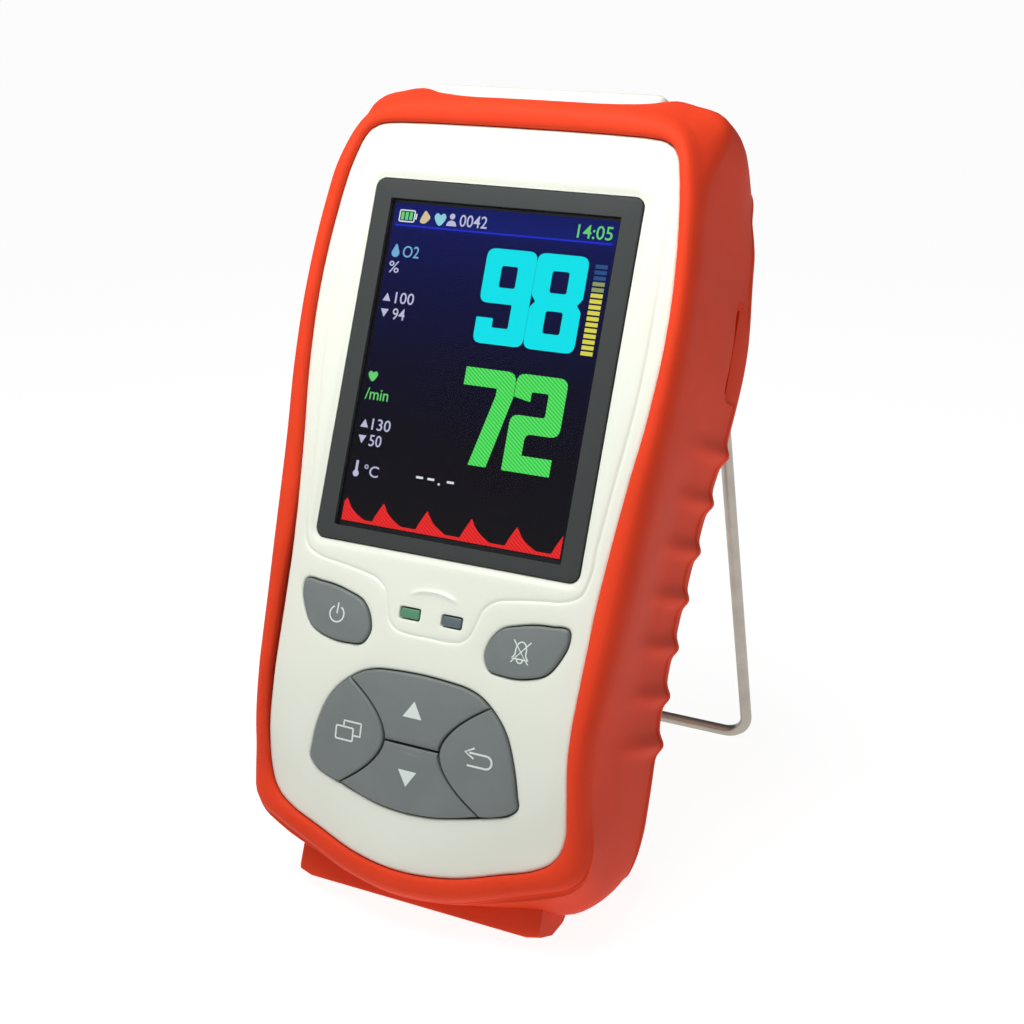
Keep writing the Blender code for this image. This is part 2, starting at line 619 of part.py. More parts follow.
def middle_key_outline(up):
    direction = 1 if up else -1
    heights = [SPLIT_MIDDLE + direction * (0.2 + (SPLIT_REACH - 0.2) * k / 4) for k in range(5)]
    right = [(split_x(z, -0.2), z) for z in heights]
    edge = [(11.6, -54.0), (9.5, -53.25), (5.0, -52.7), (0.0, -52.5)] if up else [(9.5, -75.2), (5.0, -76.1), (0.0, -76.4)]
    half = right + edge
    return nudged(half + [(-x, z) for x, z in reversed(half[:-1])])


def cluster_outline():
    """The whole four-way pad, as one hole in the housing."""
    half = [(0.0, -52.5), (5.0, -52.7), (9.5, -53.25), (11.6, -54.0), (13.6, -55.3), (15.2, -56.7), (17.0, -58.9),
            (19.2, -64.2), (20.2, -69.0), (20.4, -71.2), (19.9, -71.9), (14.9, -73.9), (9.5, -75.2),
            (5.0, -76.1), (0.0, -76.4)]
    return nudged(half + [(-x, z) for x, z in reversed(half[1:-1])])


KEY_CENTRES = {
    "power_key": (-18.6, -44.8), "silence_key": (18.6, -44.8), "up_key": (0.0, -58.6),
    "down_key": (0.0, -70.6), "menu_key": (-12.9, -64.7), "back_key": (12.9, -64.7),
}


def make_keys():
    outlines = {
        "power_key": power_outline(), "silence_key": silence_outline(),
        "up_key": middle_key_outline(True), "down_key": middle_key_outline(False),
        "menu_key": side_key_outline(-1), "back_key": side_key_outline(1),
    }
    for name, outline in outlines.items():
        cx, cz = KEY_CENTRES[name]
        level = FACE_FRONT - KEY_RISE + crown(cx, cz)
        tilt_x = (crown(cx + 3, cz) - crown(cx - 3, cz)) / 6
        tilt_z = (crown(cx, cz + 3) - crown(cx, cz - 3)) / 6

        def cap(points, sink):
            return [(x, level + sink + tilt_x * (x - cx) + tilt_z * (z - cz), z) for x, z in points]

        rings = [[(x, KEY_BACK, z) for x, z in outline], cap(outline, 0.45),
                 cap(offset_outline(outline, -0.4), 0.0)]
        place = (cx, level, cz)
        mesh_object(name, loft(rings, offset=place), GREY_RUBBER, location=place)


# ---------------------------------------------------------------- sockets, battery, screws

def make_sockets():
    prism_up("probe_socket", d_outline(16.4, 8.0, SOCKET_X), 37.0, 51.6, BLACK_PLASTIC, PARTS)
    jack = prism_up("temperature_jack", circle_outline(JACK_X, 3.8), 37.0, 51.9, BRASS, PARTS)
    combine(jack, prism_up("jack_bore", circle_outline(JACK_X, 1.8, 12), 41.0, 60.0), "DIFFERENCE")


def make_battery():
    low, high = DOOR_Z
    door = box("battery_door", (-DOOR_X, 30.1, low), (DOOR_X, CASE_BACK, high), WHITE_PLASTIC)
    for name, radius, front in (("door_hole", SCREW_RADIUS + GAP, 28.0), ("door_seat", 2.7, 30.9)):
        combine(door, cylinder(name, (0, -12.0), radius, front, 34.0, WHITE_PLASTIC, CUTTERS), "DIFFERENCE")
    make_screw("door_screw", (0, -12.0), 24.0, 31.2, 31.9)
    for i, name in enumerate(("left", "middle", "right")):
        bottom, top = CELL_Z
        x = (i - 1) * CELL_PITCH
        rings = []
        for radius, z in ((CELL_RADIUS, bottom), (CELL_RADIUS, top - 1.2), (2.6, top - 1.2), (2.6, top)):
            angles = [2 * pi * k / 20 for k in range(20)]
            rings.append([(radius * cos(a), radius * sin(a), z) for a in angles])
        mesh_object("cell_" + name, loft(rings), CELL_WRAP, location=(x, CELL_Y, 0))
    for name, z in (("battery_contact_top", CELL_Z[1] + GAP), ("battery_contact_bottom", CELL_Z[0] - 0.9)):
        box(name, (-21.5, CELL_Y - 5, z), (21.5, CELL_Y + 5, z + 0.6), STEEL)


def make_screw(name, centre, tip, head_front, head_back):
    """A pan-head screw along Y, with its tip towards the front."""
    rings = []
    for radius, y in ((SCREW_RADIUS * 0.5, tip), (SCREW_RADIUS, tip + 0.9), (SCREW_RADIUS, head_front),
                      (SCREW_HEAD_RADIUS, head_front), (SCREW_HEAD_RADIUS, head_back - 0.3),
                      (SCREW_HEAD_RADIUS * 0.8, head_back)):
        angles = [2 * pi * k / 12 for k in range(12)]
        rings.append([(radius * cos(a), y, radius * sin(a)) for a in angles])
    return mesh_object(name, loft(rings), STEEL, location=(centre[0], 0, centre[1]))


# ---------------------------------------------------------------- stand

def arc(centre, radius, start, end, count, to_point):
    angles = [start + (end - start) * k / count for k in range(count + 1)]
    return [to_point(centre[0] + radius * cos(a), centre[1] + radius * sin(a)) for a in angles]


def make_stand():
    """The wire stand about its hinge axis, hanging straight down before it is swung out."""
    pivot = bpy.data.objects.new("stand_pivot", None)
    PARTS.objects.link(pivot)
    pivot.parent = ROOT
    pivot.location = Vector((0, PIVOT_Y, PIVOT_Z)) * MM
    hinge_height = FLOOR_DROP - PIVOT_Y * sin(LEAN) + PIVOT_Z * cos(LEAN)
    pivot.rotation_euler.x = LEAN + acos((hinge_height - WIRE_RADIUS) / LEG_LENGTH)

    def flat(x, z):
        return (x * MM, 0, z * MM)

    half = [flat(PIN_END_X, 0), flat(27.0, 0)]
    half += arc((LEG_X - PIN_BEND, -PIN_BEND), PIN_BEND, pi / 2, 0, 4, flat)
    half += [flat(LEG_X, -LEG_LENGTH * k) for k in (0.25, 0.5, 0.75)]
    half += arc((LEG_X - BAR_BEND, -LEG_LENGTH + BAR_BEND), BAR_BEND, 0, -pi / 2, 5, flat)
    points = half + [flat(0, -LEG_LENGTH)] + [(-x, y, z) for x, y, z in reversed(half)]
    curve = bpy.data.curves.new("kickstand", "CURVE")
    curve.dimensions = "3D"
    curve.bevel_depth = WIRE_RADIUS * MM
    curve.bevel_resolution = 2
    curve.use_fill_caps = True
    curve.resolution_u = 1
    curve.render_resolution_u = 0
    spline = curve.splines.new("POLY")
    spline.points.add(len(points) - 1)
    for target, point in zip(spline.points, points):
        target.co = (*point, 1.0)
    curve.materials.append(STEEL)
    stand = bpy.data.objects.new("kickstand", curve)
    PARTS.objects.link(stand)
    stand.parent = pivot


make_boot()
make_front_housing()
make_rear_housing()
make_display()
make_board()
make_keys()
make_sockets()
make_battery()
for screw_name, (screw_x, screw_z, screw_tip) in CASE_SCREWS.items():
    make_screw(screw_name, (screw_x, screw_z), screw_tip, 29.9, 31.7)
make_stand()
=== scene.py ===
"""Looks of the handheld patient monitor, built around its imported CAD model.

Shapes are modelled in the device's own frame, in millimetres: X across the front, Y from the display
towards the back, Z up along the body, with the origin in the middle of the display. DEVICE takes them to
the world, where the body leans back on its stand.
"""
import json
from math import acos, atan2, cos, exp, pi, radians, sin, sqrt

import bmesh
import bpy
import numpy as np
from mathutils import Matrix, Vector
from mathutils.geometry import delaunay_2d_cdt
from mathutils.kdtree import KDTree


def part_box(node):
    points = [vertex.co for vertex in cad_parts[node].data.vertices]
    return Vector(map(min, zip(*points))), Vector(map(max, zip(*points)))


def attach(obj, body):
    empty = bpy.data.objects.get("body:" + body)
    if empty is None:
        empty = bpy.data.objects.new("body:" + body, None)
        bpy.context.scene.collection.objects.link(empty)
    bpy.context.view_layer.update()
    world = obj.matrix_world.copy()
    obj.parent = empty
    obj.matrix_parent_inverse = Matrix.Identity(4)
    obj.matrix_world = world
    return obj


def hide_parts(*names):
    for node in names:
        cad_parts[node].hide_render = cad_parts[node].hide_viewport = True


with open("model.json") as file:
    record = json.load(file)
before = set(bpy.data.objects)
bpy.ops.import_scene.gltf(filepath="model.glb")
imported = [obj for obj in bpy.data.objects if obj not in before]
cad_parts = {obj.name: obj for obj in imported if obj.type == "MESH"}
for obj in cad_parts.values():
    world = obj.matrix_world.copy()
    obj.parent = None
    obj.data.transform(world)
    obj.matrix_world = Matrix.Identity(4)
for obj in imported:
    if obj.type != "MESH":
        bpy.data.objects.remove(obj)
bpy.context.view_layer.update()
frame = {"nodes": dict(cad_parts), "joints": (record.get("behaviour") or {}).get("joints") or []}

MM = 0.001
JOINTS = {joint["name"]: joint for joint in frame["joints"]}

# The device's frame, from the way the keys travel and from where the display panel lies.
PRESS = JOINTS["power_press"]["axis"]
LEAN = atan2(-PRESS[2], PRESS[1])
PANEL_DEPTH = 1.8      # from the display's front to the middle of the panel
TILT = Matrix.Rotation(-LEAN, 4, "X")
PANEL_LOW, PANEL_HIGH = (Vector(corner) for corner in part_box("lcd_panel"))
ORIGIN = (PANEL_LOW + PANEL_HIGH) / 2 - TILT @ Vector((0, PANEL_DEPTH * MM, 0))
DEVICE = Matrix.Translation(ORIGIN) @ TILT @ Matrix.Scale(MM, 4)

# Half outlines from the middle of the top edge to the middle of the bottom edge, as (x, z).
BOOT_OUTER = [
    (0, 48.6), (12, 48.6), (20.5, 48.5), (25.5, 48.0), (28.9, 46.8), (31.2, 44.9), (32.8, 42.2), (34.1, 38.6),
    (35.2, 34.5), (36.1, 28), (37.1, 12), (36.8, -2), (35.8, -15), (34.7, -34), (33.7, -48), (33.0, -60),
    (33.3, -70), (33.8, -77), (33.1, -80.8), (30.8, -83.2), (27, -84.8), (19.5, -87.6), (10, -90.8), (0, -91.9),
]
BOOT_REAR = [
    (0, 50.5), (12, 50.6), (21, 51.4), (24.8, 52.1), (28.8, 51.4), (32.2, 50.6), (34.4, 49.0), (35.4, 46.0),
    (35.2, 40.5), (35.8, 28.5), (37.3, 12), (36.4, -2), (34.5, -15), (32.95, -34), (32.7, -48), (33.2, -60),
    (33.5, -70), (33.4, -78), (32.9, -82.6), (31.6, -86.4), (29.0, -89.0), (20, -91.2), (10, -92.0), (0, -92.2),
]
BOOT_OPENING = [
    (0, 43.3), (12, 43.3), (20.5, 43.25), (25, 43.1), (27.6, 42.7), (29.1, 41.8), (30.2, 40.2), (31.0, 37.6),
    (31.9, 33.5), (32.7, 28), (33.8, 11.5), (33.2, -2), (31.7, -15), (30.0, -34), (29.5, -48), (29.3, -60),
    (29.7, -70), (29.5, -75), (28.7, -77.6), (27.2, -79.6), (24.5, -81.3), (18.5, -83.5), (9.5, -86.3),
    (0, -87.2),
]
CAVITY, CASE_OUTER, FACE_EDGE, CASE_INNER = 0.60, 0.66, 1.015, 1.10
FACE_FRONT, FACE_STEP, FACE_INNER, PARTING = -0.7, 0.6, 1.7, 7.7
CASE_BACK, BOOT_BACK, BOOT_BACK_INNER = 32.1, 35.1, 32.4
TOP_BEND_START, TOP_BEND_RADIUS = 10.0, 36.0
BOTTOM_BEND_START, BOTTOM_BEND_RADIUS = 20.0, 22.0
CHIN_LIMIT = 6.6
MIDDLE = -21.0
RIB_HEIGHTS = [-5.5 - 8.9 * i for i in range(7)]
RIB_HEIGHT, RIB_WIDTH = 1.25, 1.6
FOOT_X = 24.5
HEEL_Y, HEEL_Z = 19.0, -94.5
PIVOT_Y, PIVOT_Z = 36.7, 10.6
HEAD_X, HEAD_Y, HEAD_TOP = 22.7, (8.0, 25.5), 53.1
SOCKET_X, JACK_X, SOCKET_Y = -4.5, 14.5, 16.5
DOOR_X, DOOR_Z, DOOR_SCREW = 22.2, (-69.8, -8.2), (0, -12.0)
REAR_WINDOW_X, REAR_WINDOW_Z = 24.2, (-72.0, -5.5)


# ---- materials

def shader_of(mat):
    return mat.node_tree.nodes["Principled BSDF"]


def add_node(mat, kind, **values):
    """A new node with its input sockets set; underscores in the keys stand for spaces."""
    node = mat.node_tree.nodes.new(kind)
    for key, value in values.items():
        node.inputs[key.replace("_", " ")].default_value = value
    return node


def color_ramp(mat, stops):
    """A ramp through (position, colour) stops."""
    ramp = add_node(mat, "ShaderNodeValToRGB")
    elements = ramp.color_ramp.elements
    elements[0].position, elements[1].position = stops[0][0], stops[-1][0]
    elements[0].color, elements[1].color = (*stops[0][1], 1), (*stops[-1][1], 1)
    for position, color in stops[1:-1]:
        elements.new(position).color = (*color, 1)
    return ramp


def surface(name, color, roughness, metallic=0.0, grain=None, mottle=None, **sockets):
    """A Principled material; grain is (size mm, depth mm, spread) and mottle (size mm, how much darker)."""
    mat = bpy.data.materials.new(name)
    mat.use_nodes = True
    shader = shader_of(mat)
    sockets.update(Base_Color=(*color, 1), Roughness=roughness, Metallic=metallic)
    for key, value in sockets.items():
        shader.inputs[key.replace("_", " ")].default_value = value
    link = mat.node_tree.links.new
    coordinates = add_node(mat, "ShaderNodeTexCoord").outputs["Object"]
    if grain:
        size, depth, spread = grain
        noise = add_node(mat, "ShaderNodeTexNoise", Scale=1 / (size * MM), Detail=3.0)
        link(coordinates, noise.inputs["Vector"])
        bump = add_node(mat, "ShaderNodeBump", Distance=depth * MM, Strength=1.0)
        link(noise.outputs["Fac"], bump.inputs["Height"])
        link(bump.outputs["Normal"], shader.inputs["Normal"])
        rough = add_node(mat, "ShaderNodeMapRange", To_Min=roughness - spread, To_Max=roughness + spread)
        link(noise.outputs["Fac"], rough.inputs["Value"])
        link(rough.outputs["Result"], shader.inputs["Roughness"])
    if mottle:
        size, share = mottle
        clouds = add_node(mat, "ShaderNodeTexNoise", Scale=1 / (size * MM), Detail=4.0)
        link(coordinates, clouds.inputs["Vector"])
        ramp = color_ramp(mat, ((0.35, [c * (1 - share) for c in color]), (0.68, color)))
        link(clouds.outputs["Fac"], ramp.inputs["Fac"])
        link(ramp.outputs["Color"], shader.inputs["Base Color"])
    return mat


def glow(name, color):
    """A lit part of the display."""
    return surface(name, (0, 0, 0), 0.6, Emission_Color=(*color, 1), Emission_Strength=1.0,
                   Specular_IOR_Level=0.0)


def from_screen(red, green, blue):
    """Linear colour of 8-bit display values."""
    values = (c / 255 for c in (red, green, blue))
    return tuple(c / 12.92 if c <= 0.04045 else ((c + 0.055) / 1.055) ** 2.4 for c in values)


def hatched(name, color, light, pitch=0.42):
    """A glow crossed by fine slanting lines, as the panel's dots show it."""
    mat = glow(name, color)
    wave = add_node(mat, "ShaderNodeTexWave", Scale=0.314 / (pitch * MM))
    wave.wave_type, wave.bands_direction = "BANDS", "DIAGONAL"
    coordinates = add_node(mat, "ShaderNodeTexCoord")
    ramp = color_ramp(mat, ((0.0, color), (1.0, light)))
    link = mat.node_tree.links.new
    link(coordinates.outputs["Object"], wave.inputs["Vector"])
    link(wave.outputs["Fac"], ramp.inputs["Fac"])
    link(ramp.outputs["Color"], shader_of(mat).inputs["Emission Color"])
    return mat


def display_ground():
    """The display's ground: blue at the top, fading to nearly black a third of the way down."""
    mat = glow("display_ground", (0, 0, 0))
    link = mat.node_tree.links.new
    coordinates = add_node(mat, "ShaderNodeTexCoord")
    parts = add_node(mat, "ShaderNodeSeparateXYZ")
    low, high = (DEVICE @ Vector((0, 0, z)) for z in (-DISPLAY_Z, DISPLAY_Z))
    level = add_node(mat, "ShaderNodeMapRange", From_Min=low.z, From_Max=high.z)
    stops = ((0.0, (20, 18, 20)), (0.28, (14, 12, 22)), (0.5, (12, 11, 38)), (0.72, (12, 14, 62)),
             (0.91, (14, 20, 84)), (0.935, (18, 30, 112)), (1.0, (14, 24, 100)))
    ramp = color_ramp(mat, [(position, from_screen(*color)) for position, color in stops])
    link(coordinates.outputs["Object"], parts.inputs["Vector"])
    link(parts.outputs["Z"], level.inputs["Value"])
    link(level.outputs["Result"], ramp.inputs["Fac"])
    link(ramp.outputs["Color"], shader_of(mat).inputs["Emission Color"])
    return mat


RED_RUBBER = surface("red_rubber", (0.76, 0.055, 0.018), 0.58, grain=(0.35, 0.02, 0.06), mottle=(14, 0.08),
                     Specular_IOR_Level=0.07)
WHITE_PLASTIC = surface("white_plastic", (0.77, 0.80, 0.70), 0.36, grain=(0.30, 0.006, 0.05),
                        mottle=(30, 0.03))
KEY_RUBBER = surface("key_rubber", (0.165, 0.190, 0.185), 0.55, grain=(0.22, 0.012, 0.06), mottle=(6, 0.08))
KEY_PRINT = surface("key_print", (0.66, 0.72, 0.69), 0.5, grain=(0.15, 0.004, 0.05))
WINDOW_PRINT = surface("window_print", (0.048, 0.053, 0.052), 0.50, grain=(1.6, 0.001, 0.03),
                       Specular_IOR_Level=0.07)
WINDOW_CLEAR = surface("window_clear", (0.02, 0.02, 0.025), 0.08, Alpha=0.08)
PANEL_BLACK = surface("panel_black", (0.004, 0.004, 0.006), 0.15, grain=(0.5, 0.001, 0.03))
WIRE_STEEL = surface("wire_steel", (0.46, 0.42, 0.36), 0.36, 1.0, grain=(0.5, 0.006, 0.08), mottle=(5, 0.15))
SHEET_STEEL = surface("sheet_steel", (0.55, 0.55, 0.54), 0.32, 1.0, grain=(0.6, 0.004, 0.08))
LIGHT_GREEN = surface("light_green", (0.09, 0.25, 0.15), 0.2, grain=(0.6, 0.004, 0.05), Coat_Weight=0.4)
LIGHT_BLUE = surface("light_blue", (0.10, 0.14, 0.15), 0.2, grain=(0.6, 0.004, 0.05), Coat_Weight=0.4)
BLACK_PLASTIC = surface("black_plastic", (0.02, 0.02, 0.022), 0.45, grain=(0.3, 0.008, 0.06))
BLACK_FOAM = surface("black_foam", (0.015, 0.015, 0.015), 0.9, grain=(0.2, 0.05, 0.05))
BOARD_GREEN = surface("board_green", (0.02, 0.13, 0.05), 0.42, grain=(0.5, 0.01, 0.06), mottle=(3, 0.3))
LAMP_WHITE = surface("lamp_white", (0.75, 0.74, 0.68), 0.35, grain=(0.4, 0.004, 0.05))
CELL_WRAP = surface("cell_wrap", (0.08, 0.10, 0.15), 0.3, grain=(1.0, 0.003, 0.05), mottle=(4, 0.2))
GOLD_CONTACT = surface("gold_contact", (0.75, 0.55, 0.22), 0.25, 1.0, grain=(0.4, 0.002, 0.05))
NICKEL = surface("nickel", (0.62, 0.60, 0.56), 0.24, 1.0, grain=(0.5, 0.003, 0.06), mottle=(3, 0.1))


# ---- mesh tools

def add_object(name, data):
    obj = bpy.data.objects.new(name, data)
    bpy.context.scene.collection.objects.link(obj)
    return obj


def finish_mesh(name, bm, mat, body="monitor", matrix=DEVICE, angle=38):
    """Make a piece of a bmesh in device millimetres and let it ride on a body."""
    bmesh.ops.recalc_face_normals(bm, faces=bm.faces)
    mesh = bpy.data.meshes.new(name)
    bm.to_mesh(mesh)
    bm.free()
    mesh.transform(matrix)
    mesh.shade_smooth()
    mesh.set_sharp_from_angle(angle=radians(angle))
    obj = add_object(name, mesh)
    obj.data.materials.append(mat)
    if body:
        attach(obj, body)
    return obj


def bridge(rings, closed=False):
    """Join rings of equally many points; the ends are capped unless the rings close on themselves."""
    bm = bmesh.new()
    rows = [[bm.verts.new(point) for point in ring] for ring in rings]
    pairs = list(zip(rows, rows[1:])) + ([(rows[-1], rows[0])] if closed else [])
    for low, high in pairs:
        for i in range(len(low)):
            j = (i + 1) % len(low)
            bm.faces.new((low[i], low[j], high[j], high[i]))
    if not closed:
        bm.faces.new(rows[0])
        bm.faces.new(rows[-1])
    return bm


def inside(loop, x, z):
    """Which of the points lie inside a closed loop."""
    a = np.array(loop)
    b = np.roll(a, -1, axis=0)
    hit = np.zeros(len(x), bool)
    for (ax, az), (bx, bz) in zip(a, b):
        if az == bz:
            continue
        crosses = (az > z) != (bz > z)
        hit ^= crosses & (x < (bx - ax) * (z - az) / (bz - az) + ax)
    return hit


def distance(loop, x, z, closed=True):
    """How far the points lie from a loop or an open line."""
    a = np.array(loop, float)
    b = np.roll(a, -1, axis=0)
    if not closed:
        a, b = a[:-1], b[:-1]
    best = np.full(len(x), 1e9)
    for (ax, az), (bx, bz) in zip(a, b):
        dx, dz = bx - ax, bz - az
        t = np.clip(((x - ax) * dx + (z - az) * dz) / (dx * dx + dz * dz + 1e-12), 0, 1)
        best = np.minimum(best, np.hypot(x - ax - t * dx, z - az - t * dz))
    return best


def offset(loop, amount):
    """Move a closed (x, z) loop outwards."""
    count = len(loop)
    area = sum(loop[i][0] * loop[(i + 1) % count][1] - loop[(i + 1) % count][0] * loop[i][1]
               for i in range(count))
    side = 1 if area > 0 else -1
    moved = []
    for i, (x, z) in enumerate(loop):
        before, after = loop[i - 1], loop[(i + 1) % count]
        along = Vector((after[0] - before[0], after[1] - before[1])).normalized()
        moved.append((x + along.y * side * amount, z - along.x * side * amount))
    return moved


def even(loop, step, closed=True):
    """Points at even steps along a loop or line, keeping its corners."""
    points = []
    pairs = zip(loop, loop[1:] + loop[:1]) if closed else zip(loop, loop[1:])
    for (ax, az), (bx, bz) in pairs:
        pieces = max(1, round(sqrt((bx - ax) ** 2 + (bz - az) ** 2) / step))
        points += [(ax + (bx - ax) * k / pieces, az + (bz - az) * k / pieces) for k in range(pieces)]
    return points if closed else points + [loop[-1]]


def rounded(corners, radius, per=5):
    """A closed polygon with its corners turned into arcs; radius may be one number or one a corner."""
    radii = radius if isinstance(radius, (list, tuple)) else [radius] * len(corners)
    points = []
    for i, (corner, wanted) in enumerate(zip(corners, radii)):
        here = Vector(corner)
        back, ahead = Vector(corners[i - 1]) - here, Vector(corners[(i + 1) % len(corners)]) - here
        half = back.angle(ahead) / 2
        reach = min(wanted / max(np.tan(half), 1e-6), back.length * 0.49, ahead.length * 0.49)
        start, end = here + back.normalized() * reach, here + ahead.normalized() * reach
        for k in range(per + 1):
            t = k / per
            points.append(tuple(start * (1 - t) ** 2 + here * 2 * t * (1 - t) + end * t ** 2))
    return points


def hermite(start, into, end, out, t):
    """A point on the cubic curve with these end points and end slopes."""
    return (start * (2 * t ** 3 - 3 * t ** 2 + 1) + into * (t ** 3 - 2 * t ** 2 + t)
            + end * (3 * t ** 2 - 2 * t ** 3) + out * (t ** 3 - t ** 2))


def smooth_line(points, step, closed=False):
    """Points along a smooth curve through the given ones."""
    vectors = [Vector(p) for p in points]
    count = len(vectors)
    result = []
    for i in range(count if closed else count - 1):
        before = vectors[i - 1] if closed or i else vectors[0]
        start, end = vectors[i], vectors[(i + 1) % count]
        after = vectors[(i + 2) % count] if closed or i + 2 < count else vectors[-1]
        chords = [max((q - p).length, 1e-6) for p, q in ((before, start), (start, end), (end, after))]
        into = ((start - before) / chords[0] * chords[1] + (end - start) / chords[1] * chords[0])
        into *= chords[1] / (chords[0] + chords[1])
        out = ((end - start) / chords[1] * chords[2] + (after - end) / chords[2] * chords[1])
        out *= chords[1] / (chords[1] + chords[2])
        pieces = max(1, round(chords[1] / step))
        for k in range(pieces):
            result.append(tuple(hermite(start, into, end, out, k / pieces)))
    return result if closed else result + [tuple(vectors[-1])]


def sheet_mesh(outer, front, back, holes=(), guides=(), spacing=1.0):
    """A closed sheet across (x, z); front and back give its depths from arrays of x and z."""
    points, edges = [], []
    for loop, closed in [(outer, True)] + [(hole, True) for hole in holes] + list(guides):
        start, count = len(points), len(loop)
        points += [Vector(p) for p in loop]
        edges += [(start + i, start + (i + 1) % count) for i in range(count if closed else count - 1)]
    if spacing:
        tree = KDTree(len(points))
        for i, point in enumerate(points):
            tree.insert((*point, 0), i)
        tree.balance()
        low = Vector(map(min, zip(*outer)))
        high = Vector(map(max, zip(*outer)))
        rows = int((high.y - low.y) / (spacing * 0.87))
        for row in range(1, rows):
            z = low.y + row * spacing * 0.87
            for column in range(int((high.x - low.x) / spacing)):
                x = low.x + (column + 0.5 + 0.5 * (row % 2)) * spacing
                if tree.find((x, z, 0))[2] > spacing * 0.45:
                    points.append(Vector((x, z)))
    flat, _, faces, *_ = delaunay_2d_cdt(points, edges, [], 0, 1e-6)
    x, z = np.array([v.x for v in flat]), np.array([v.y for v in flat])
    middles = np.array([[x[list(f)].mean(), z[list(f)].mean()] for f in faces])
    keep = inside(outer, middles[:, 0], middles[:, 1])
    for hole in holes:
        keep &= ~inside(hole, middles[:, 0], middles[:, 1])
    kept = [tuple(f) for f, good in zip(faces, keep) if good]
    used = sorted({i for f in kept for i in f})
    x, z = x[used], z[used]
    slot = {old: new for new, old in enumerate(used)}
    bm = bmesh.new()
    fronts = [bm.verts.new(p) for p in zip(x, front(x, z), z)]
    backs = [bm.verts.new(p) for p in zip(x, back(x, z), z)]
    open_edges = {}
    for face in kept:
        a = [slot[i] for i in face]
        bm.faces.new([fronts[i] for i in a])
        bm.faces.new([backs[i] for i in reversed(a)])
        for p, q in zip(a, a[1:] + a[:1]):
            if (q, p) in open_edges:
                del open_edges[(q, p)]
            else:
                open_edges[(p, q)] = True
    for p, q in open_edges:
        bm.faces.new((fronts[q], fronts[p], backs[p], backs[q]))
    return bm


def rims(loop, *distances):
    """Guide lines for sheet_mesh, at these distances outside a loop."""
    return [(offset(loop, d), True) for d in distances]


def level(value):
    """A flat depth for sheet_mesh."""
    return lambda x, z: np.full(len(x), float(value))


def along_line(line, i):
    """The direction of an open line at one of its points."""
    (ax, az), (bx, bz) = line[max(i - 1, 0)], line[min(i + 1, len(line) - 1)]
    return Vector((bx - ax, bz - az)).normalized()


def shifted(line, amount):
    """An open line moved to its left."""
    moved = []
    for i, (x, z) in enumerate(line):
        along = along_line(line, i)
        moved.append((x - along.y * amount, z + along.x * amount))
    return moved


def mirrored(loop):
    return [(-x, z) for x, z in reversed(loop)]


def stroke(points, width, closed=False):
    """The outline or outlines of a line of a given width."""
    half = width / 2
    if closed:
        return [offset(points, half), offset(points, -half)]
    return [shifted(points, half) + shifted(points, -half)[::-1]]


def merge(target, other):
    """Add another bmesh's faces to a bmesh."""
    mesh = bpy.data.meshes.new("part")
    other.to_mesh(mesh)
    other.free()
    target.from_mesh(mesh)
    bpy.data.meshes.remove(mesh)


def flats(name, shapes, mat, body, front, back, spacing=None):
    """Thin flat shapes in one piece; a shape is [outline, hole, ...]."""
    whole = bmesh.new()
    for outline, *holes in shapes:
        merge(whole, sheet_mesh(outline, front, back, holes, spacing=spacing))
    return finish_mesh(name, whole, mat, body)


def block(low, high, bevel, segments=3):
    """A box with rounded edges, from its low to its high corner."""
    low, high = Vector(low), Vector(high)
    bm = bmesh.new()
    bmesh.ops.create_cube(bm, size=1.0)
    bmesh.ops.scale(bm, vec=high - low, verts=bm.verts)
    bmesh.ops.translate(bm, vec=(low + high) / 2, verts=bm.verts)
    bmesh.ops.bevel(bm, geom=bm.edges[:], offset=bevel, segments=segments, profile=0.5, affect="EDGES")
    return bm


def turned(centre, profile, axis, sides):
    """A round piece from (radius, place along the axis); centre holds the two other coordinates in order."""
    rings = []
    for radius, along in profile:
        ring = []
        for k in range(sides):
            u = centre[0] + radius * cos(2 * pi * k / sides)
            v = centre[1] + radius * sin(2 * pi * k / sides)
            ring.append({"x": (along, u, v), "y": (u, along, v), "z": (u, v, along)}[axis])
        rings.append(ring)
    return bridge(rings)


def rod(centre, radius, start, end, axis, sides=32):
    return turned(centre, ((radius, start), (radius, end)), axis, sides)


def carve(obj, bm, operation):
    """Cut a bmesh from a piece, or join it on, for good."""
    mesh = bpy.data.meshes.new("tool")
    bmesh.ops.recalc_face_normals(bm, faces=bm.faces)
    bm.to_mesh(mesh)
    bm.free()
    mesh.transform(DEVICE)
    tool = add_object("tool", mesh)
    modifier = obj.modifiers.new("carve", "BOOLEAN")
    modifier.operation, modifier.object, modifier.solver = operation, tool, "EXACT"
    bpy.context.view_layer.update()
    graph = bpy.context.evaluated_depsgraph_get()
    done = bpy.data.meshes.new_from_object(obj.evaluated_get(graph))
    obj.modifiers.remove(modifier)
    obj.data = done
    bpy.data.objects.remove(tool)
    done.shade_smooth()
    done.set_sharp_from_angle(angle=radians(38))


# ---- outlines of boot and case

class Loop:
    """A closed smooth curve through a half outline and its mirror image."""

    def __init__(self, half):
        self.points = [Vector(p) for p in half + mirrored(half[1:-1])]
        count = len(self.points)
        chords = [self.points[(i + 1) % count] - self.points[i] for i in range(count)]
        self.lengths = [chord.length for chord in chords]
        self.slopes = []
        for i in range(count):
            before, after = self.lengths[i - 1], self.lengths[i]
            pull = chords[i - 1] / before * after + chords[i] / after * before
            self.slopes.append(pull / (before + after))

    def at(self, segment, t):
        following = (segment + 1) % len(self.points)
        length = self.lengths[segment]
        return hermite(self.points[segment], self.slopes[segment] * length,
                       self.points[following], self.slopes[following] * length, t)


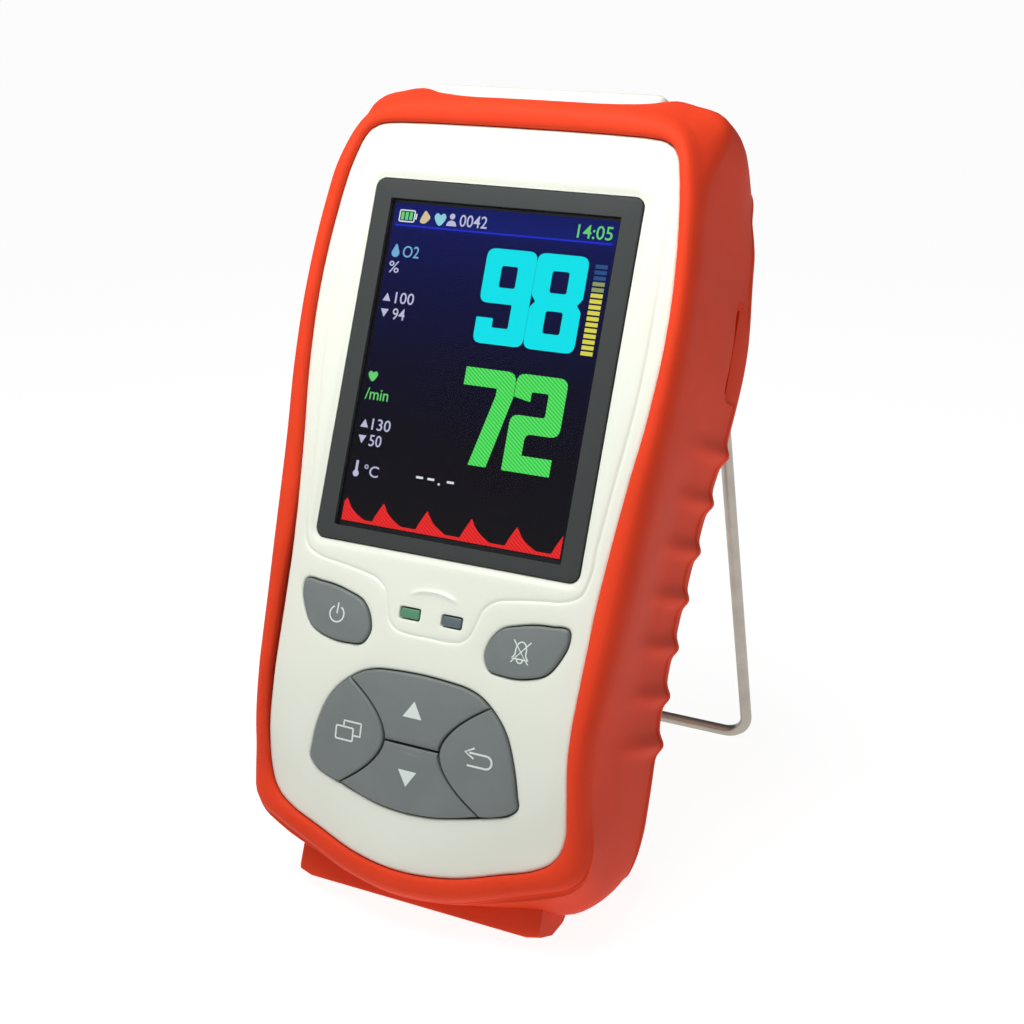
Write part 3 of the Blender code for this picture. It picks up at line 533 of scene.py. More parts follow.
OUTER, REAR, OPENING = Loop(BOOT_OUTER), Loop(BOOT_REAR), Loop(BOOT_OPENING)


def samples(step, rib_step):
    """Where to read the outlines, as (segment, t), closer together along the ribbed sides."""
    chosen = []
    for i, length in enumerate(OUTER.lengths):
        start, end = OUTER.at(i, 0), OUTER.at(i, 1)
        ribbed = abs(start.x) > 32.5 and min(start.y, end.y) < 0 and max(start.y, end.y) > -66
        pieces = max(1, round(length / (rib_step if ribbed else step)))
        chosen += [(i, k / pieces) for k in range(pieces)]
    return chosen


FINE = samples(1.3, 0.6)
COARSE = samples(2.0, 2.0)


def smoothstep(value, start, end):
    t = np.clip((value - start) / (end - start), 0.0, 1.0)
    return t * t * (3 - 2 * t)


def crown(x, z):
    """How far the front face falls back: towards the chin, and a little at its top corners."""
    below, above, across = np.maximum(0.0, -55.0 - z), np.maximum(0.0, z - 32.0), np.abs(x) / 29.0
    chin = (0.012 * below ** 2 + 0.04 * below) * (0.33 + 0.67 * across ** 1.6)
    chin = chin / (1 + (chin / CHIN_LIMIT) ** 6) ** (1 / 6)
    return chin + 0.008 * above ** 2 * across ** 2


def settle(x, y, z):
    """Bend a point of the straight-sided body into place: rounded back edges and crowned front."""
    front_share = min(max(1 - (y - FACE_STEP) / (PARTING - FACE_STEP), 0.0), 1.0)
    depth = y + crown(x, z) * front_share
    x *= 1 - 0.052 * float(smoothstep(y, 16, 34) * smoothstep(z, 33, 46))
    bend = max(0.0, y - TOP_BEND_START)
    drop = TOP_BEND_RADIUS - sqrt(TOP_BEND_RADIUS ** 2 - bend ** 2)
    if z > 15:
        z -= drop * ((z - 15) / 34) ** 2
    bend = max(0.0, y - BOTTOM_BEND_START)
    rise = BOTTOM_BEND_RADIUS - sqrt(BOTTOM_BEND_RADIUS ** 2 - bend ** 2)
    if z < -60:
        z += rise * ((-60 - z) / 29) ** 2
    return (x, depth, z)


def outward(segment, t):
    ahead = OUTER.at(segment, min(t + 0.01, 1.0)) - OUTER.at(segment, max(t - 0.01, 0.0))
    return Vector((ahead.y, -ahead.x)).normalized() * -1


def standoff(x, z):
    """How much of the lip's width stands off the case, low on the left side."""
    if x > -20:
        return 0.0
    return float(smoothstep(z, -74, -56) * (1 - smoothstep(z, -46, -20)))


def flare(y, z):
    """How far the boot's skin has come from its front outline to its fuller rear one."""
    high = smoothstep(z, 20, 35)
    return float(high * smoothstep(y, -2, 10) + (1 - high) * smoothstep(y, 3, 20))


def ring(place, y, where, swell=None, gape=0.0):
    """The outline at a place between the boot's skin (0) and its opening (1), at depth y."""
    points = []
    for segment, t in where:
        outer, opening = OUTER.at(segment, t), OPENING.at(segment, t)
        share = place - gape * standoff(outer.x, outer.y)
        skin = outer.lerp(REAR.at(segment, t), flare(y, outer.y) * max(0.0, 1 - place / CAVITY))
        point = skin.lerp(opening, share)
        if swell:
            point += outward(segment, t) * swell(outer)
        points.append(settle(point.x, y, point.y))
    return points


# ---- boot

def rib_swell(y):
    """Height of the grip ribs at a depth: they fade towards the front and round the back edge."""
    share = float(smoothstep(y, 8, 30)) * (1 - float(smoothstep(y, 32.5, 35.2)))
    seam = 0.25 * exp(-((y - 30.9) / 0.35) ** 2)

    def swell(outer):
        if abs(outer.x) < 31:
            return seam if outer.y > 0 else 0.0
        ribs = sum(exp(-((outer.y - crest) / RIB_WIDTH) ** 2) for crest in RIB_HEIGHTS)
        return share * RIB_HEIGHT * ribs + seam
    return swell


def rear_window(y, grow=0.0):
    """The boot's rear window: a rounded rectangle read in the directions of the outline's points."""
    low, high = REAR_WINDOW_Z
    middle, half_height = (low + high) / 2, (high - low) / 2 + grow
    points = []
    for segment, t in FINE:
        outer = OUTER.at(segment, t)
        angle = atan2((outer.y - MIDDLE) / 70, outer.x / 37)
        reach = (abs(cos(angle)) ** 9 + abs(sin(angle)) ** 9) ** (-1 / 9)
        points.append(((REAR_WINDOW_X + grow) * reach * cos(angle), y,
                       middle + half_height * reach * sin(angle)))
    return points


def make_boot():
    lip = [(1.0, 0.3), (1.0, -0.4), (1.0, -0.9), (0.975, -1.3), (0.90, -1.65), (0.78, -1.9), (0.62, -2.0),
           (0.46, -1.85), (0.31, -1.45), (0.18, -0.75), (0.08, 0.3), (0.02, 1.7), (0.0, 3.6)]
    rings = []
    for place, y in smooth_line(lip, 0.12):
        rings.append(ring(place, y, FINE, gape=0.2 * float(smoothstep(place, 0.4, 0.95))))
    sides = [4.6 + 1.25 * k for k in range(21)] + [30.2, 30.5, 30.7, 30.9, 31.1, 31.3, 31.6]
    rings += [ring(0.0, y, FINE, rib_swell(y)) for y in sides]
    back = [(0.0, 32.0), (0.05, 32.8), (0.16, 33.75), (0.34, 34.5), (0.58, 34.95), (0.95, BOOT_BACK)]
    rings += [ring(place, y, FINE, rib_swell(y)) for place, y in smooth_line(back, 0.45)]
    edge, window = rings[-1], rear_window(BOOT_BACK, 1.0)
    for k in (0.25, 0.5, 0.75):
        rings.append([Vector(a).lerp(Vector(b), k) for a, b in zip(edge, window)])
    for grow, y in ((1.0, BOOT_BACK), (0.5, BOOT_BACK - 0.1), (0.13, BOOT_BACK - 0.45), (0.0, BOOT_BACK - 1.0),
                    (0.0, BOOT_BACK_INNER)):
        rings.append(rear_window(y, grow))
    rings += [ring(CAVITY, y, FINE) for y in (BOOT_BACK_INNER, 29.0, 25.5, 21.0, 17.0, 12.0, 7.7, 3.0, 0.3)]
    boot = finish_mesh("boot", bridge(rings, closed=True), RED_RUBBER)
    extras = foot_bmesh()
    for side in (-1, 1):
        low, high = sorted((side * 24.0, side * 28.5))
        merge(extras, block((low, 33.8, PIVOT_Z - 3.2), (high, 39.6, PIVOT_Z + 3.2), 1.3, 4))
    carve(boot, extras, "UNION")
    cuts = block((-HEAD_X - 0.4, HEAD_Y[0] - 0.4, 30.0), (HEAD_X + 0.4, HEAD_Y[1] + 0.4, 60.0), 0.6, 3)
    slot = rounded([(23.3, 3.5), (23.3, 22.0), (42.0, 22.0), (42.0, 3.5)], 3.7, 8)
    for side in (-1, 1):
        floor = [(side * (35.5 + 0.2 * (y - 23.3)), y, z) for y, z in slot]
        merge(cuts, bridge([floor, [(side * 45.0, y, z) for y, z in slot]]))
        merge(cuts, rod((PIVOT_Y, PIVOT_Z), 1.5, *sorted((side * 22.0, side * 30.0)), "x", 24))
    carve(boot, cuts, "DIFFERENCE")
    slits = bmesh.new()
    for side in (-1, 1):
        low, high = sorted((side * 35.6, side * 37.2))
        merge(slits, block((low, 26.0, 5.2), (high, 26.9, 20.2), 0.1, 1))
    carve(boot, slits, "DIFFERENCE")
    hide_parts("rubber_boot")


def foot_bmesh():
    """The block under the boot, with the bevel at its back that lies on the floor."""
    bevel_end = HEEL_Z + 4.2 * np.tan(LEAN)
    rings = []
    for k in range(-10, 11):
        x = FOOT_X * k / 10
        top = -90.6 + 0.0101 * x ** 2
        tuck = 0.5 * max(0.0, abs(k) - 9)
        rings.append([(x, y, z) for y, z in (
            (12.2 + tuck, top), (12.2 + tuck, -93.3 + tuck), (12.5 + tuck, -94.1 + tuck),
            (13.3 + tuck, HEEL_Z + 0.08 + tuck), (HEEL_Y, HEEL_Z + tuck * 0.5),
            (HEEL_Y + 4.2, bevel_end + tuck * 0.5), (23.9, -91.9 + tuck),
            (24.0 - tuck * 0.5, -91.2), (24.0 - tuck * 0.5, top))])
    return bridge(rings)


# ---- case

GROOVE_HALF = [
    (28.6, 41.2), (30.0, 34.5), (30.75, 24), (31.0, 11), (30.55, -2), (29.2, -15), (28.2, -26), (27.9, -30.8),
    (26.7, -34.1), (24.3, -35.4), (20.0, -36.05), (15.0, -36.8), (11.5, -37.7), (9.8, -39.1),
    (8.8, -41.8), (7.9, -44.3), (6.3, -45.6), (4.3, -45.95), (0, -45.95),
]
ARC_RIDGE = [(-5.2, -39.3), (-2.8, -38.4), (0, -38.05), (2.8, -38.4), (5.2, -39.3)]
LIGHTS = {"left": (-5.9, -2.3), "right": (2.3, 5.9)}
LIGHT_Z = (-43.3, -41.6)
WINDOW_X, WINDOW_Z, WINDOW_MIDDLE, WINDOW_CORNER = 25.7, 32.45, 0.35, 2.0
KEY_GAP = 0.2
CLUSTER_SHIFT = 0.35
SPLIT_WAIST, SPLIT_MIDDLE, SPLIT_RATE, SPLIT_POWER, SPLIT_REACH = 5.4, -64.7, 0.15, 1.8, 9.35


def window_distance(x, z):
    """Signed distance from the edge of the window's recess: negative inside it."""
    half_x, half_z = WINDOW_X + 0.2 - WINDOW_CORNER, WINDOW_Z + 0.2 - WINDOW_CORNER
    qx, qz = np.abs(x) - half_x, np.abs(z - WINDOW_MIDDLE) - half_z
    outside = np.hypot(np.maximum(qx, 0), np.maximum(qz, 0))
    return outside + np.minimum(np.maximum(qx, qz), 0) - WINDOW_CORNER


def box_loop(low, high, corner, step=0.6, per=5):
    corners = [(high[0], high[1]), (low[0], high[1]), (low[0], low[1]), (high[0], low[1])]
    return even(rounded(corners, corner, per), step)


def window_loop(half_x, half_z, corner, step, per):
    return box_loop((-half_x, WINDOW_MIDDLE - half_z), (half_x, WINDOW_MIDDLE + half_z), corner, step, per)


SILENCE_LOOP = smooth_line([
    (25.8, -40.2), (22.4, -40.0), (16.7, -40.9), (13.7, -42.0), (11.8, -44.6), (11.4, -47.1), (12.5, -49.0),
    (15.2, -49.5), (19.9, -49.1), (23.0, -47.8), (25.0, -44.9), (26.0, -41.6)], 0.35, closed=True)
POWER_LOOP = mirrored(SILENCE_LOOP)


def split_x(z, shift):
    """Where the curved gap between the middle and outer keys of the cluster lies at a height."""
    return SPLIT_WAIST + SPLIT_RATE * abs(z - SPLIT_MIDDLE) ** SPLIT_POWER + shift


CLUSTER_HALF = [
    (0.0, -52.5), (5.0, -52.7), (9.5, -53.25), (11.6, -54.0), (13.6, -55.3), (15.2, -56.7), (17.0, -58.9),
    (19.2, -64.2), (20.2, -69.0), (20.45, -71.1), (19.6, -72.1), (14.9, -73.9), (9.5, -75.2), (5.0, -76.1),
    (0.0, -76.4),
]


def back_loop():
    heights = [SPLIT_MIDDLE + SPLIT_REACH * (1 - k / 12) for k in range(25)]
    inner = [(split_x(z, 0.2), z) for z in heights]
    return inner + smooth_line(CLUSTER_HALF[11:4:-1] + [(14.1, -55.7)], 0.5)


def middle_loop(up):
    direction = 1 if up else -1
    heights = [SPLIT_MIDDLE + direction * (0.2 + (SPLIT_REACH - 0.2) * k / 12) for k in range(13)]
    right = [(split_x(z, -0.2), z) for z in heights]
    edge = CLUSTER_HALF[3::-1] if up else CLUSTER_HALF[12:]
    half = right[:-1] + smooth_line([right[-1]] + edge, 0.5)
    return half + mirrored(half[:-1])


def cluster_loop():
    half = smooth_line(CLUSTER_HALF, 0.5)
    return half + mirrored(half[1:-1])


def nudged(loop, amount=CLUSTER_SHIFT):
    return [(x + amount, z) for x, z in loop]


KEY_HOLES = [offset(loop, KEY_GAP)
             for loop in (SILENCE_LOOP, POWER_LOOP, nudged(cluster_loop()))]
LIGHT_HOLES = [box_loop((low - 0.25, LIGHT_Z[0] - 0.25), (high + 0.25, LIGHT_Z[1] + 0.25), 0.5)
               for low, high in LIGHTS.values()]
GROOVE = smooth_line(GROOVE_HALF, 0.6)
GROOVE += mirrored(GROOVE[:-1])
RIDGE = smooth_line(ARC_RIDGE, 0.4)


FACE_LOOP = [(x, z) for x, _, z in ring(FACE_EDGE, 0.0, COARSE)]


def fillet(d, radius):
    """How far a rounded edge of this radius has fallen at a distance d from it."""
    gap = np.clip(radius - d, 0, radius)
    return radius - np.sqrt(radius ** 2 - gap ** 2)


def face_depth(x, z):
    """Depth of the case's front face, with its grooves, ridges and rounded edges."""
    y = FACE_FRONT + crown(x, z)
    y += fillet(distance(FACE_LOOP, x, z), 0.5)
    for hole in KEY_HOLES:
        d = distance(hole, x, z)
        y += fillet(d, 0.45) + 0.10 * np.exp(-(d / 1.1) ** 2)
    for hole in LIGHT_HOLES:
        y += fillet(distance(hole, x, z), 0.3)
    y += 0.24 * (1 - 0.55 * smoothstep(z, 0, 28)) * np.exp(-(distance(GROOVE, x, z, closed=False) / 0.30) ** 2)
    fade = 1 - smoothstep(np.abs(x), 3.2, 5.4)
    y -= 0.34 * fade * np.exp(-(distance(RIDGE, x, z, closed=False) / 0.42) ** 2)
    d = window_distance(x, z)
    y += 0.42 * (1 - smoothstep(d, 0.0, 1.5))
    return np.where(d < -0.02, 0.95, y)


def make_front_case():
    guides = rims(FACE_LOOP, -0.12, -0.35, -0.7, -1.25)
    for hole in KEY_HOLES:
        guides += rims(hole, 0.05, 0.14, 0.28, 0.45, 0.9)
    for hole in LIGHT_HOLES:
        guides += rims(hole, 0.04, 0.12, 0.3)
    guides += [(window_loop(WINDOW_X + 0.2 + d, WINDOW_Z + 0.2 + d, WINDOW_CORNER + d, 1.2, 7), True)
               for d in (-0.05, 0.0, 0.25, 0.6, 1.0, 1.5)]
    for line, reach in ((GROOVE, (0, 0.15, 0.32, 0.55)), (RIDGE, (0, 0.2, 0.42, 0.8))):
        for d in sorted({s * r for r in reach for s in (-1, 1)}):
            guides.append((shifted(line, d), False))
    panel_hole = box_loop((-24.1, -31.5), (24.1, 31.5), 0.6, 1.5)
    bm = sheet_mesh(FACE_LOOP, face_depth, lambda x, z: FACE_INNER + 0.6 + crown(x, z),
                    KEY_HOLES + LIGHT_HOLES + [panel_hole], guides, 0.9)
    rim = [ring(CASE_OUTER, 2.6, COARSE), ring(CASE_OUTER, PARTING, COARSE), ring(CASE_INNER, PARTING, COARSE),
           ring(CASE_INNER, 2.6, COARSE)]
    merge(bm, bridge(rim, closed=True))
    case = finish_mesh("front_case", bm, WHITE_PLASTIC, angle=30)
    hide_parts("front_housing")


def make_rear_case():
    depths = (PARTING + 0.3, 12.0, 17.0, 21.0, 25.5, 29.0)
    rings = [ring(CASE_OUTER, y, COARSE) for y in (CASE_BACK, *reversed(depths))]
    rings += [ring(CASE_INNER, y, COARSE) for y in (*depths, CASE_BACK - 2)]
    case = finish_mesh("rear_case", bridge(rings), WHITE_PLASTIC)
    carve(case, block((-HEAD_X, HEAD_Y[0], 37.0), (HEAD_X, HEAD_Y[1], HEAD_TOP), 1.8, 6), "UNION")
    screw_bar = block((-24.4, 27.2, -15.8), (24.4, 30.6, -5.0), 0.3, 1)
    carve(case, screw_bar, "UNION")
    low, high = DOOR_Z
    cuts = block((-DOOR_X - 0.3, 29.8, low - 0.3), (DOOR_X + 0.3, 40.0, high + 0.3), 0.5, 3)
    merge(cuts, rod(DOOR_SCREW, 1.5, 20.0, 29.9, "y"))
    merge(cuts, d_prism(19.4, 11.0, 44.0, 60.0, 1.6))
    merge(cuts, rod((JACK_X, SOCKET_Y), 4.3, 44.0, 60.0, "z", 48))
    carve(case, cuts, "DIFFERENCE")
    head_hollow = block((-HEAD_X + 2, HEAD_Y[0] - 2, 30.0), (HEAD_X - 2, 23.5, 44.9), 0.3, 1)
    carve(case, head_hollow, "DIFFERENCE")
    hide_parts("rear_housing")


def d_loop(width, depth, corner):
    """A D-shaped outline as (x, y), its front side the shorter one."""
    corners = [(SOCKET_X + width * u, SOCKET_Y + depth * v)
               for u, v in ((-0.5, 0.5), (0.5, 0.5), (0.44, -0.5), (-0.44, -0.5))]
    return rounded(corners, corner, 6)


def d_prism(width, depth, low, high, corner):
    return bridge([[(x, y, z) for x, y in d_loop(width, depth, corner)] for z in (low, high)])


# ---- keys

KEY_LOOPS = {
    "power_key": POWER_LOOP, "silence_key": SILENCE_LOOP, "up_key": nudged(middle_loop(True)),
    "down_key": nudged(middle_loop(False)), "menu_key": nudged(mirrored(back_loop())),
    "back_key": nudged(back_loop()),
}
KEY_RISE, KEY_BACK, MARK_SHIFT = 0.4, 4.3, 0.3


def key_top(loop):
    """Depth of a key's top: it follows the face, a little domed, with rounded edges."""
    def depth(x, z):
        d = distance(loop, x, z)
        y = FACE_FRONT + crown(x, z) - KEY_RISE + fillet(d, 0.45)
        return y - 0.22 * smoothstep(d, 0.0, 4.0)
    return depth


def make_keys():
    for name, loop in KEY_LOOPS.items():
        top = key_top(loop)
        bm = sheet_mesh(loop, top, level(KEY_BACK), (), rims(loop, -0.06, -0.16, -0.3, -0.5, -1.0), 0.8)
        cap = finish_mesh(name + "_cap", bm, KEY_RUBBER, name, angle=50)
        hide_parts(name)
        shapes = [[nudged(outline, MARK_SHIFT) for outline in shape] for shape in icon_shapes()[name]]
        mark = flats(name + "_mark", shapes, KEY_PRINT, name, lambda x, z: top(x, z) - 0.03,
                     lambda x, z: top(x, z) + 0.12, spacing=0.5)


def circle(cx, cz, radius, start=0.0, end=360.0, count=28):
    angles = [radians(start + (end - start) * k / count) for k in range(count + 1)]
    return [(cx + radius * cos(a), cz + radius * sin(a)) for a in angles]


def icon_shapes():
    """Flat shapes printed on each key."""
    power = [stroke(circle(-18.3, -45.0, 1.42, 118, 422), 0.27), stroke([(-18.3, -43.0), (-18.3, -44.9)], 0.27)]
    bell = smooth_line([(16.25, -46.2), (16.75, -45.6), (16.85, -44.4), (17.25, -43.5), (17.8, -43.25),
                        (18.35, -43.5), (18.75, -44.4), (18.85, -45.6), (19.35, -46.2)], 0.25)
    silence = [stroke(bell + even([(19.35, -46.2), (16.25, -46.2)], 0.4, False)[1:], 0.27 * 0.9),
               stroke(circle(17.8, -46.3, 0.55, 180, 360, 10), 0.27 * 0.9),
               stroke([(16.2, -43.1), (19.4, -46.9)], 0.27 * 0.8),
               stroke([(19.4, -43.1), (16.2, -46.9)], 0.27 * 0.8)]
    near = even(rounded([(-14.9, -66.4), (-11.4, -66.4), (-11.4, -64.1), (-14.9, -64.1)], 0.25, 3), 0.6)
    far = even([(-13.4, -63.9), (-13.4, -63.0), (-9.9, -63.0), (-9.9, -65.3), (-11.2, -65.3)], 0.5, False)
    hook = [(11.4, -63.35), (14.6, -63.35)] + circle(14.6, -64.45, 1.1, 90, -90, 12)[1:] + [(11.2, -65.55)]
    return {
        "power_key": power, "silence_key": silence,
        "menu_key": [stroke(near, 0.3, closed=True), stroke(far, 0.3)],
        "back_key": [stroke(hook, 0.34), stroke([(12.3, -62.45), (10.6, -63.35), (12.3, -64.25)], 0.34)],
        "up_key": [[[(-0.2, -57.0), (-2.05, -59.9), (1.65, -59.9)]]],
        "down_key": [[[(0.2, -71.8), (-1.6, -69.0), (2.0, -69.0)]]],
    }


# ---- window, lamps

def make_window():
    outline = window_loop(WINDOW_X, WINDOW_Z, WINDOW_CORNER, 1.5, 8)
    view = box_loop((-22.2, -29.5), (22.2, 29.4), 0.3, 2.0)
    bm = sheet_mesh(outline, lambda x, z: -0.62 + fillet(distance(outline, x, z), 0.25), level(0.1), [view],
                    rims(outline, -0.05, -0.13, -0.25), 4.0)
    border = finish_mesh("window_border", bm, WINDOW_PRINT)
    pane = finish_mesh("window_pane", sheet_mesh(view, level(-0.62), level(0.1), spacing=8.0), WINDOW_CLEAR)
    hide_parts("display_window")
    for (side, (low, high)), mat in zip(LIGHTS.items(), (LIGHT_GREEN, LIGHT_BLUE)):
        loop = box_loop((low, LIGHT_Z[0]), (high, LIGHT_Z[1]), 0.45, 0.5)
        lamp = sheet_mesh(loop, lambda x, z: FACE_FRONT + 0.12 + fillet(distance(loop, x, z), 0.2),
                          level(4.5), (), rims(loop, -0.06, -0.14, -0.3), 0.8)
        piece = finish_mesh("status_light_" + side, lamp, mat)
        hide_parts("light_pipe_" + side)


# ---- display

DISPLAY_DEPTH, LIFT = 0.34, 0.04
DISPLAY_X, DISPLAY_Z = 21.6, 28.8
GLOW = {name: glow("glow_" + name, from_screen(*color)) for name, color in {
    "cyan": (10, 240, 250), "leaf": (110, 220, 120), "lavender": (200, 200, 235), "sky": (120, 185, 225),
    "yellow": (232, 226, 84), "moss": (150, 165, 110), "slate": (45, 85, 140), "line": (32, 48, 215),
    "white": (235, 240, 245), "sand": (225, 205, 160), "ice": (150, 220, 235),
}.items()}
GLOW["green"] = hatched("glow_green", from_screen(40, 210, 60), from_screen(110, 245, 125))
GLOW["red"] = hatched("glow_red", from_screen(228, 16, 16), from_screen(250, 60, 60))


def lit_piece(name, shapes, mat):
    """Thin lit shapes just in front of the display's ground."""
    front, back = level(DISPLAY_DEPTH - LIFT - 0.02), level(DISPLAY_DEPTH - LIFT)
    flats(name, shapes, mat, "monitor", front, back)


def bar(x0, z0, x1, z1):
    return [[(x0, z0), (x1, z0), (x1, z1), (x0, z1)]]


def number(name, text, mat, low, high):
    """Figures set in Blender's own typeface, stretched into a box from low to high (x, z)."""
    font = bpy.data.curves.new(name, "FONT")
    font.body = text
    font.extrude = 0.01
    font.resolution_u = 3
    font.offset = 0.004
    holder = add_object(name + "_type", font)
    bpy.context.view_layer.update()
    mesh = bpy.data.meshes.new_from_object(holder.evaluated_get(bpy.context.evaluated_depsgraph_get()))
    bpy.data.objects.remove(holder)
    points = np.array([v.co for v in mesh.vertices])
    least, most = points.min(axis=0), points.max(axis=0)
    for vert in mesh.vertices:
        u = (vert.co.x - least[0]) / (most[0] - least[0])
        v = (vert.co.y - least[1]) / (most[1] - least[1])
        depth = DISPLAY_DEPTH - (LIFT if vert.co.z < 0 else LIFT + 0.02)
        vert.co = (low[0] + u * (high[0] - low[0]), depth, low[1] + v * (high[1] - low[1]))
    bm = bmesh.new()
    bm.from_mesh(mesh)
    bmesh.ops.remove_doubles(bm, verts=bm.verts, dist=1e-4)
    bpy.data.meshes.remove(mesh)
    finish_mesh(name, bm, mat)


def digit(which, x, z, width, height):
    """A heavy square-built figure in a cell of 9.6 by 16.6."""
    cell = {
        "9": ([(0.0, 0.0), (9.6, 0.0), (9.6, 16.6), (0.0, 16.6), (0.0, 7.1), (6.3, 7.1), (6.3, 2.9), (3.2, 2.9),
               (3.2, 4.5), (0.0, 4.5)], [[(3.2, 9.9), (6.3, 9.9), (6.3, 13.7), (3.2, 13.7)]],
              [1.5, 1.6, 1.6, 1.6, 1.5, 0.2, 0.4, 0.3, 0.2, 0.2]),
        "8": ([(0.0, 0.0), (9.6, 0.0), (9.6, 7.1), (8.7, 8.2), (9.6, 9.3), (9.6, 16.6), (0.0, 16.6), (0.0, 9.3),
               (0.9, 8.2), (0.0, 7.1)], [[(3.2, 9.9), (6.4, 9.9), (6.4, 13.7), (3.2, 13.7)],
                                       [(3.2, 2.9), (6.4, 2.9), (6.4, 6.8), (3.2, 6.8)]],
              [1.6, 1.6, 0.8, 0.2, 0.8, 1.6, 1.6, 0.8, 0.2, 0.8]),
        "7": ([(0.0, 13.5), (6.4, 13.5), (6.4, 12.2), (3.4, 0.0), (6.8, 0.0), (9.7, 12.4), (9.7, 16.6),
               (0.0, 16.6)], [], [0.1, 0.1, 0.5, 0.1, 0.1, 0.6, 1.8, 0.1]),
        "2": ([(0.0, 0.0), (9.0, 0.0), (9.0, 2.9), (3.3, 2.9), (3.3, 6.6), (9.6, 6.6), (9.6, 16.6), (0.0, 16.6),
               (0.0, 12.6), (3.2, 12.0), (3.2, 13.7), (6.4, 13.7), (6.4, 9.6), (0.0, 9.6)], [],
              [0.1, 0.1, 0.1, 0.1, 1.2, 1.7, 1.6, 1.6, 0.2, 0.2, 0.3, 0.4, 0.5, 1.6]),
    }[which]
    outline, holes, radii = cell

    def place(points):
        return [(x + u * width / 9.6, z + v * height / 16.6) for u, v in points]

    return [rounded(place(outline), radii, 4)] + [rounded(place(hole), 0.45, 3) for hole in holes]


def pulse_wave():
    """Outline of the filled trace: quick rises and slow falls above a flat base."""
    base, floor, peak = -28.1, -28.55, 3.55
    points = []
    steps = 240
    for k in range(steps + 1):
        x = -21.4 + 42.8 * k / steps
        height = 0.0
        for crest in (-20.9, -13.4, -4.6, 4.1, 12.8, 21.5):
            lead, lag = x - crest, crest - x
            if lead <= 0:
                height = max(height, max(0.0, 1 - lag / 1.75) ** 0.85)
            else:
                height = max(height, max(0.0, 1 - lead / 4.1) ** 1.25 * (1 - 0.25 * sin(min(lead, 4) * pi / 4)))
        points.append((x, base + peak * height + 0.12))
    return [[(points[0][0], floor)] + points + [(points[-1][0], floor)]]


def heart_outline(x, z, half):
    shape = [(0.0, -1.0), (-0.75, -0.3), (-1.0, 0.45), (-0.55, 0.95), (0.0, 0.65), (0.55, 0.95), (1.0, 0.45),
             (0.75, -0.3)]
    return smooth_line([(x + u * half, z + v * half) for u, v in shape], 0.25, closed=True)


def make_display():
    edge = box_loop((-DISPLAY_X, -DISPLAY_Z), (DISPLAY_X, DISPLAY_Z), 0.1, 10)
    ground = sheet_mesh(edge, level(DISPLAY_DEPTH), level(DISPLAY_DEPTH + 0.04), spacing=6.0)
    finish_mesh("display_ground", ground, display_ground())
    lit_piece("header_line", [bar(-21.0, 24.65, 21.0, 24.95)], GLOW["line"])
    lit_piece("saturation_figures", [digit("9", -1.8, 5.7, 9.6, 16.6), digit("8", 7.85, 5.7, 9.6, 16.6)],
              GLOW["cyan"])
    lit_piece("pulse_figures", [digit("7", -2.0, -15.4, 9.7, 16.8), digit("2", 7.9, -15.4, 9.6, 16.8)],
              GLOW["green"])
    lit_piece("pulse_trace", [pulse_wave()], GLOW["red"])
    steps = [5.75 + 0.985 * k for k in range(16)]
    for name, some, color in (("gauge_high", steps[13:], "slate"), ("gauge_mid", steps[11:13], "moss"),
                              ("gauge_low", steps[:11], "yellow")):
        lit_piece(name, [bar(18.7, z, 20.9, z + 0.68) for z in some], GLOW[color])
    number("clock_figures", "14:05", GLOW["leaf"], (14.3, 25.4), (20.8, 27.75))
    person = circle(-9.85, 25.4, 1.0, 0, 180, 12)
    lit_piece("person_symbol", [[person], [circle(-9.85, 27.1, 0.52, 0, 340, 14)]], GLOW["lavender"])
    number("person_figures", "0042", GLOW["lavender"], (-8.3, 25.45), (-2.9, 27.6))
    drop = smooth_line([(-19.95, 21.4), (-20.45, 20.5), (-20.75, 19.75), (-20.5, 19.2), (-19.95, 19.0),
                        (-19.4, 19.2), (-19.15, 19.75), (-19.45, 20.5)], 0.25, closed=True)
    lit_piece("drop_symbol", [[drop]], GLOW["sky"])
    number("oxygen_sign", "O2", GLOW["sky"], (-18.5, 19.1), (-15.2, 21.2))
    number("percent_sign", "%", GLOW["lavender"], (-20.8, 16.2), (-18.7, 18.3))
    lit_piece("pulse_symbol", [[heart_outline(-20.1, -2.5, 0.95)]], GLOW["leaf"])
    number("per_minute_sign", "/min", GLOW["leaf"], (-21.0, -6.7), (-16.3, -4.6))
    marks = []
    for z, up in ((10.8, True), (7.9, False), (-12.0, True), (-14.9, False)):
        tip, base = (z + 1.75, z + 0.3) if up else (z + 0.3, z + 1.75)
        marks.append([[(-20.9, base), (-19.3, base), (-20.1, tip)]])
    lit_piece("limit_marks", marks, GLOW["lavender"])
    for name, text, left, right, z in (
            ("limit_a", "100", -18.4, -14.6, 10.8), ("limit_b", "94", -18.4, -15.9, 7.9),
            ("limit_c", "130", -18.6, -14.8, -12.0), ("limit_d", "50", -18.6, -16.1, -14.9)):
        number(name, text, GLOW["lavender"], (left, z), (right, z + 2.05))
    bulb = circle(-20.15, -20.0, 0.6, 0, 340, 16)
    lit_piece("thermometer_symbol", [bar(-20.4, -19.6, -19.9, -17.7), [bulb]], GLOW["lavender"])
    number("celsius_sign", "\u00b0C", GLOW["lavender"], (-18.6, -20.3), (-15.6, -18.2))
    dashes = [bar(x, -19.15, x + 1.35, -18.75) for x in (-8.0, -5.75, -1.9)]
    lit_piece("temperature_dashes", dashes + [bar(-3.6, -19.75, -3.2, -19.4)], GLOW["white"])
    make_status_icons()


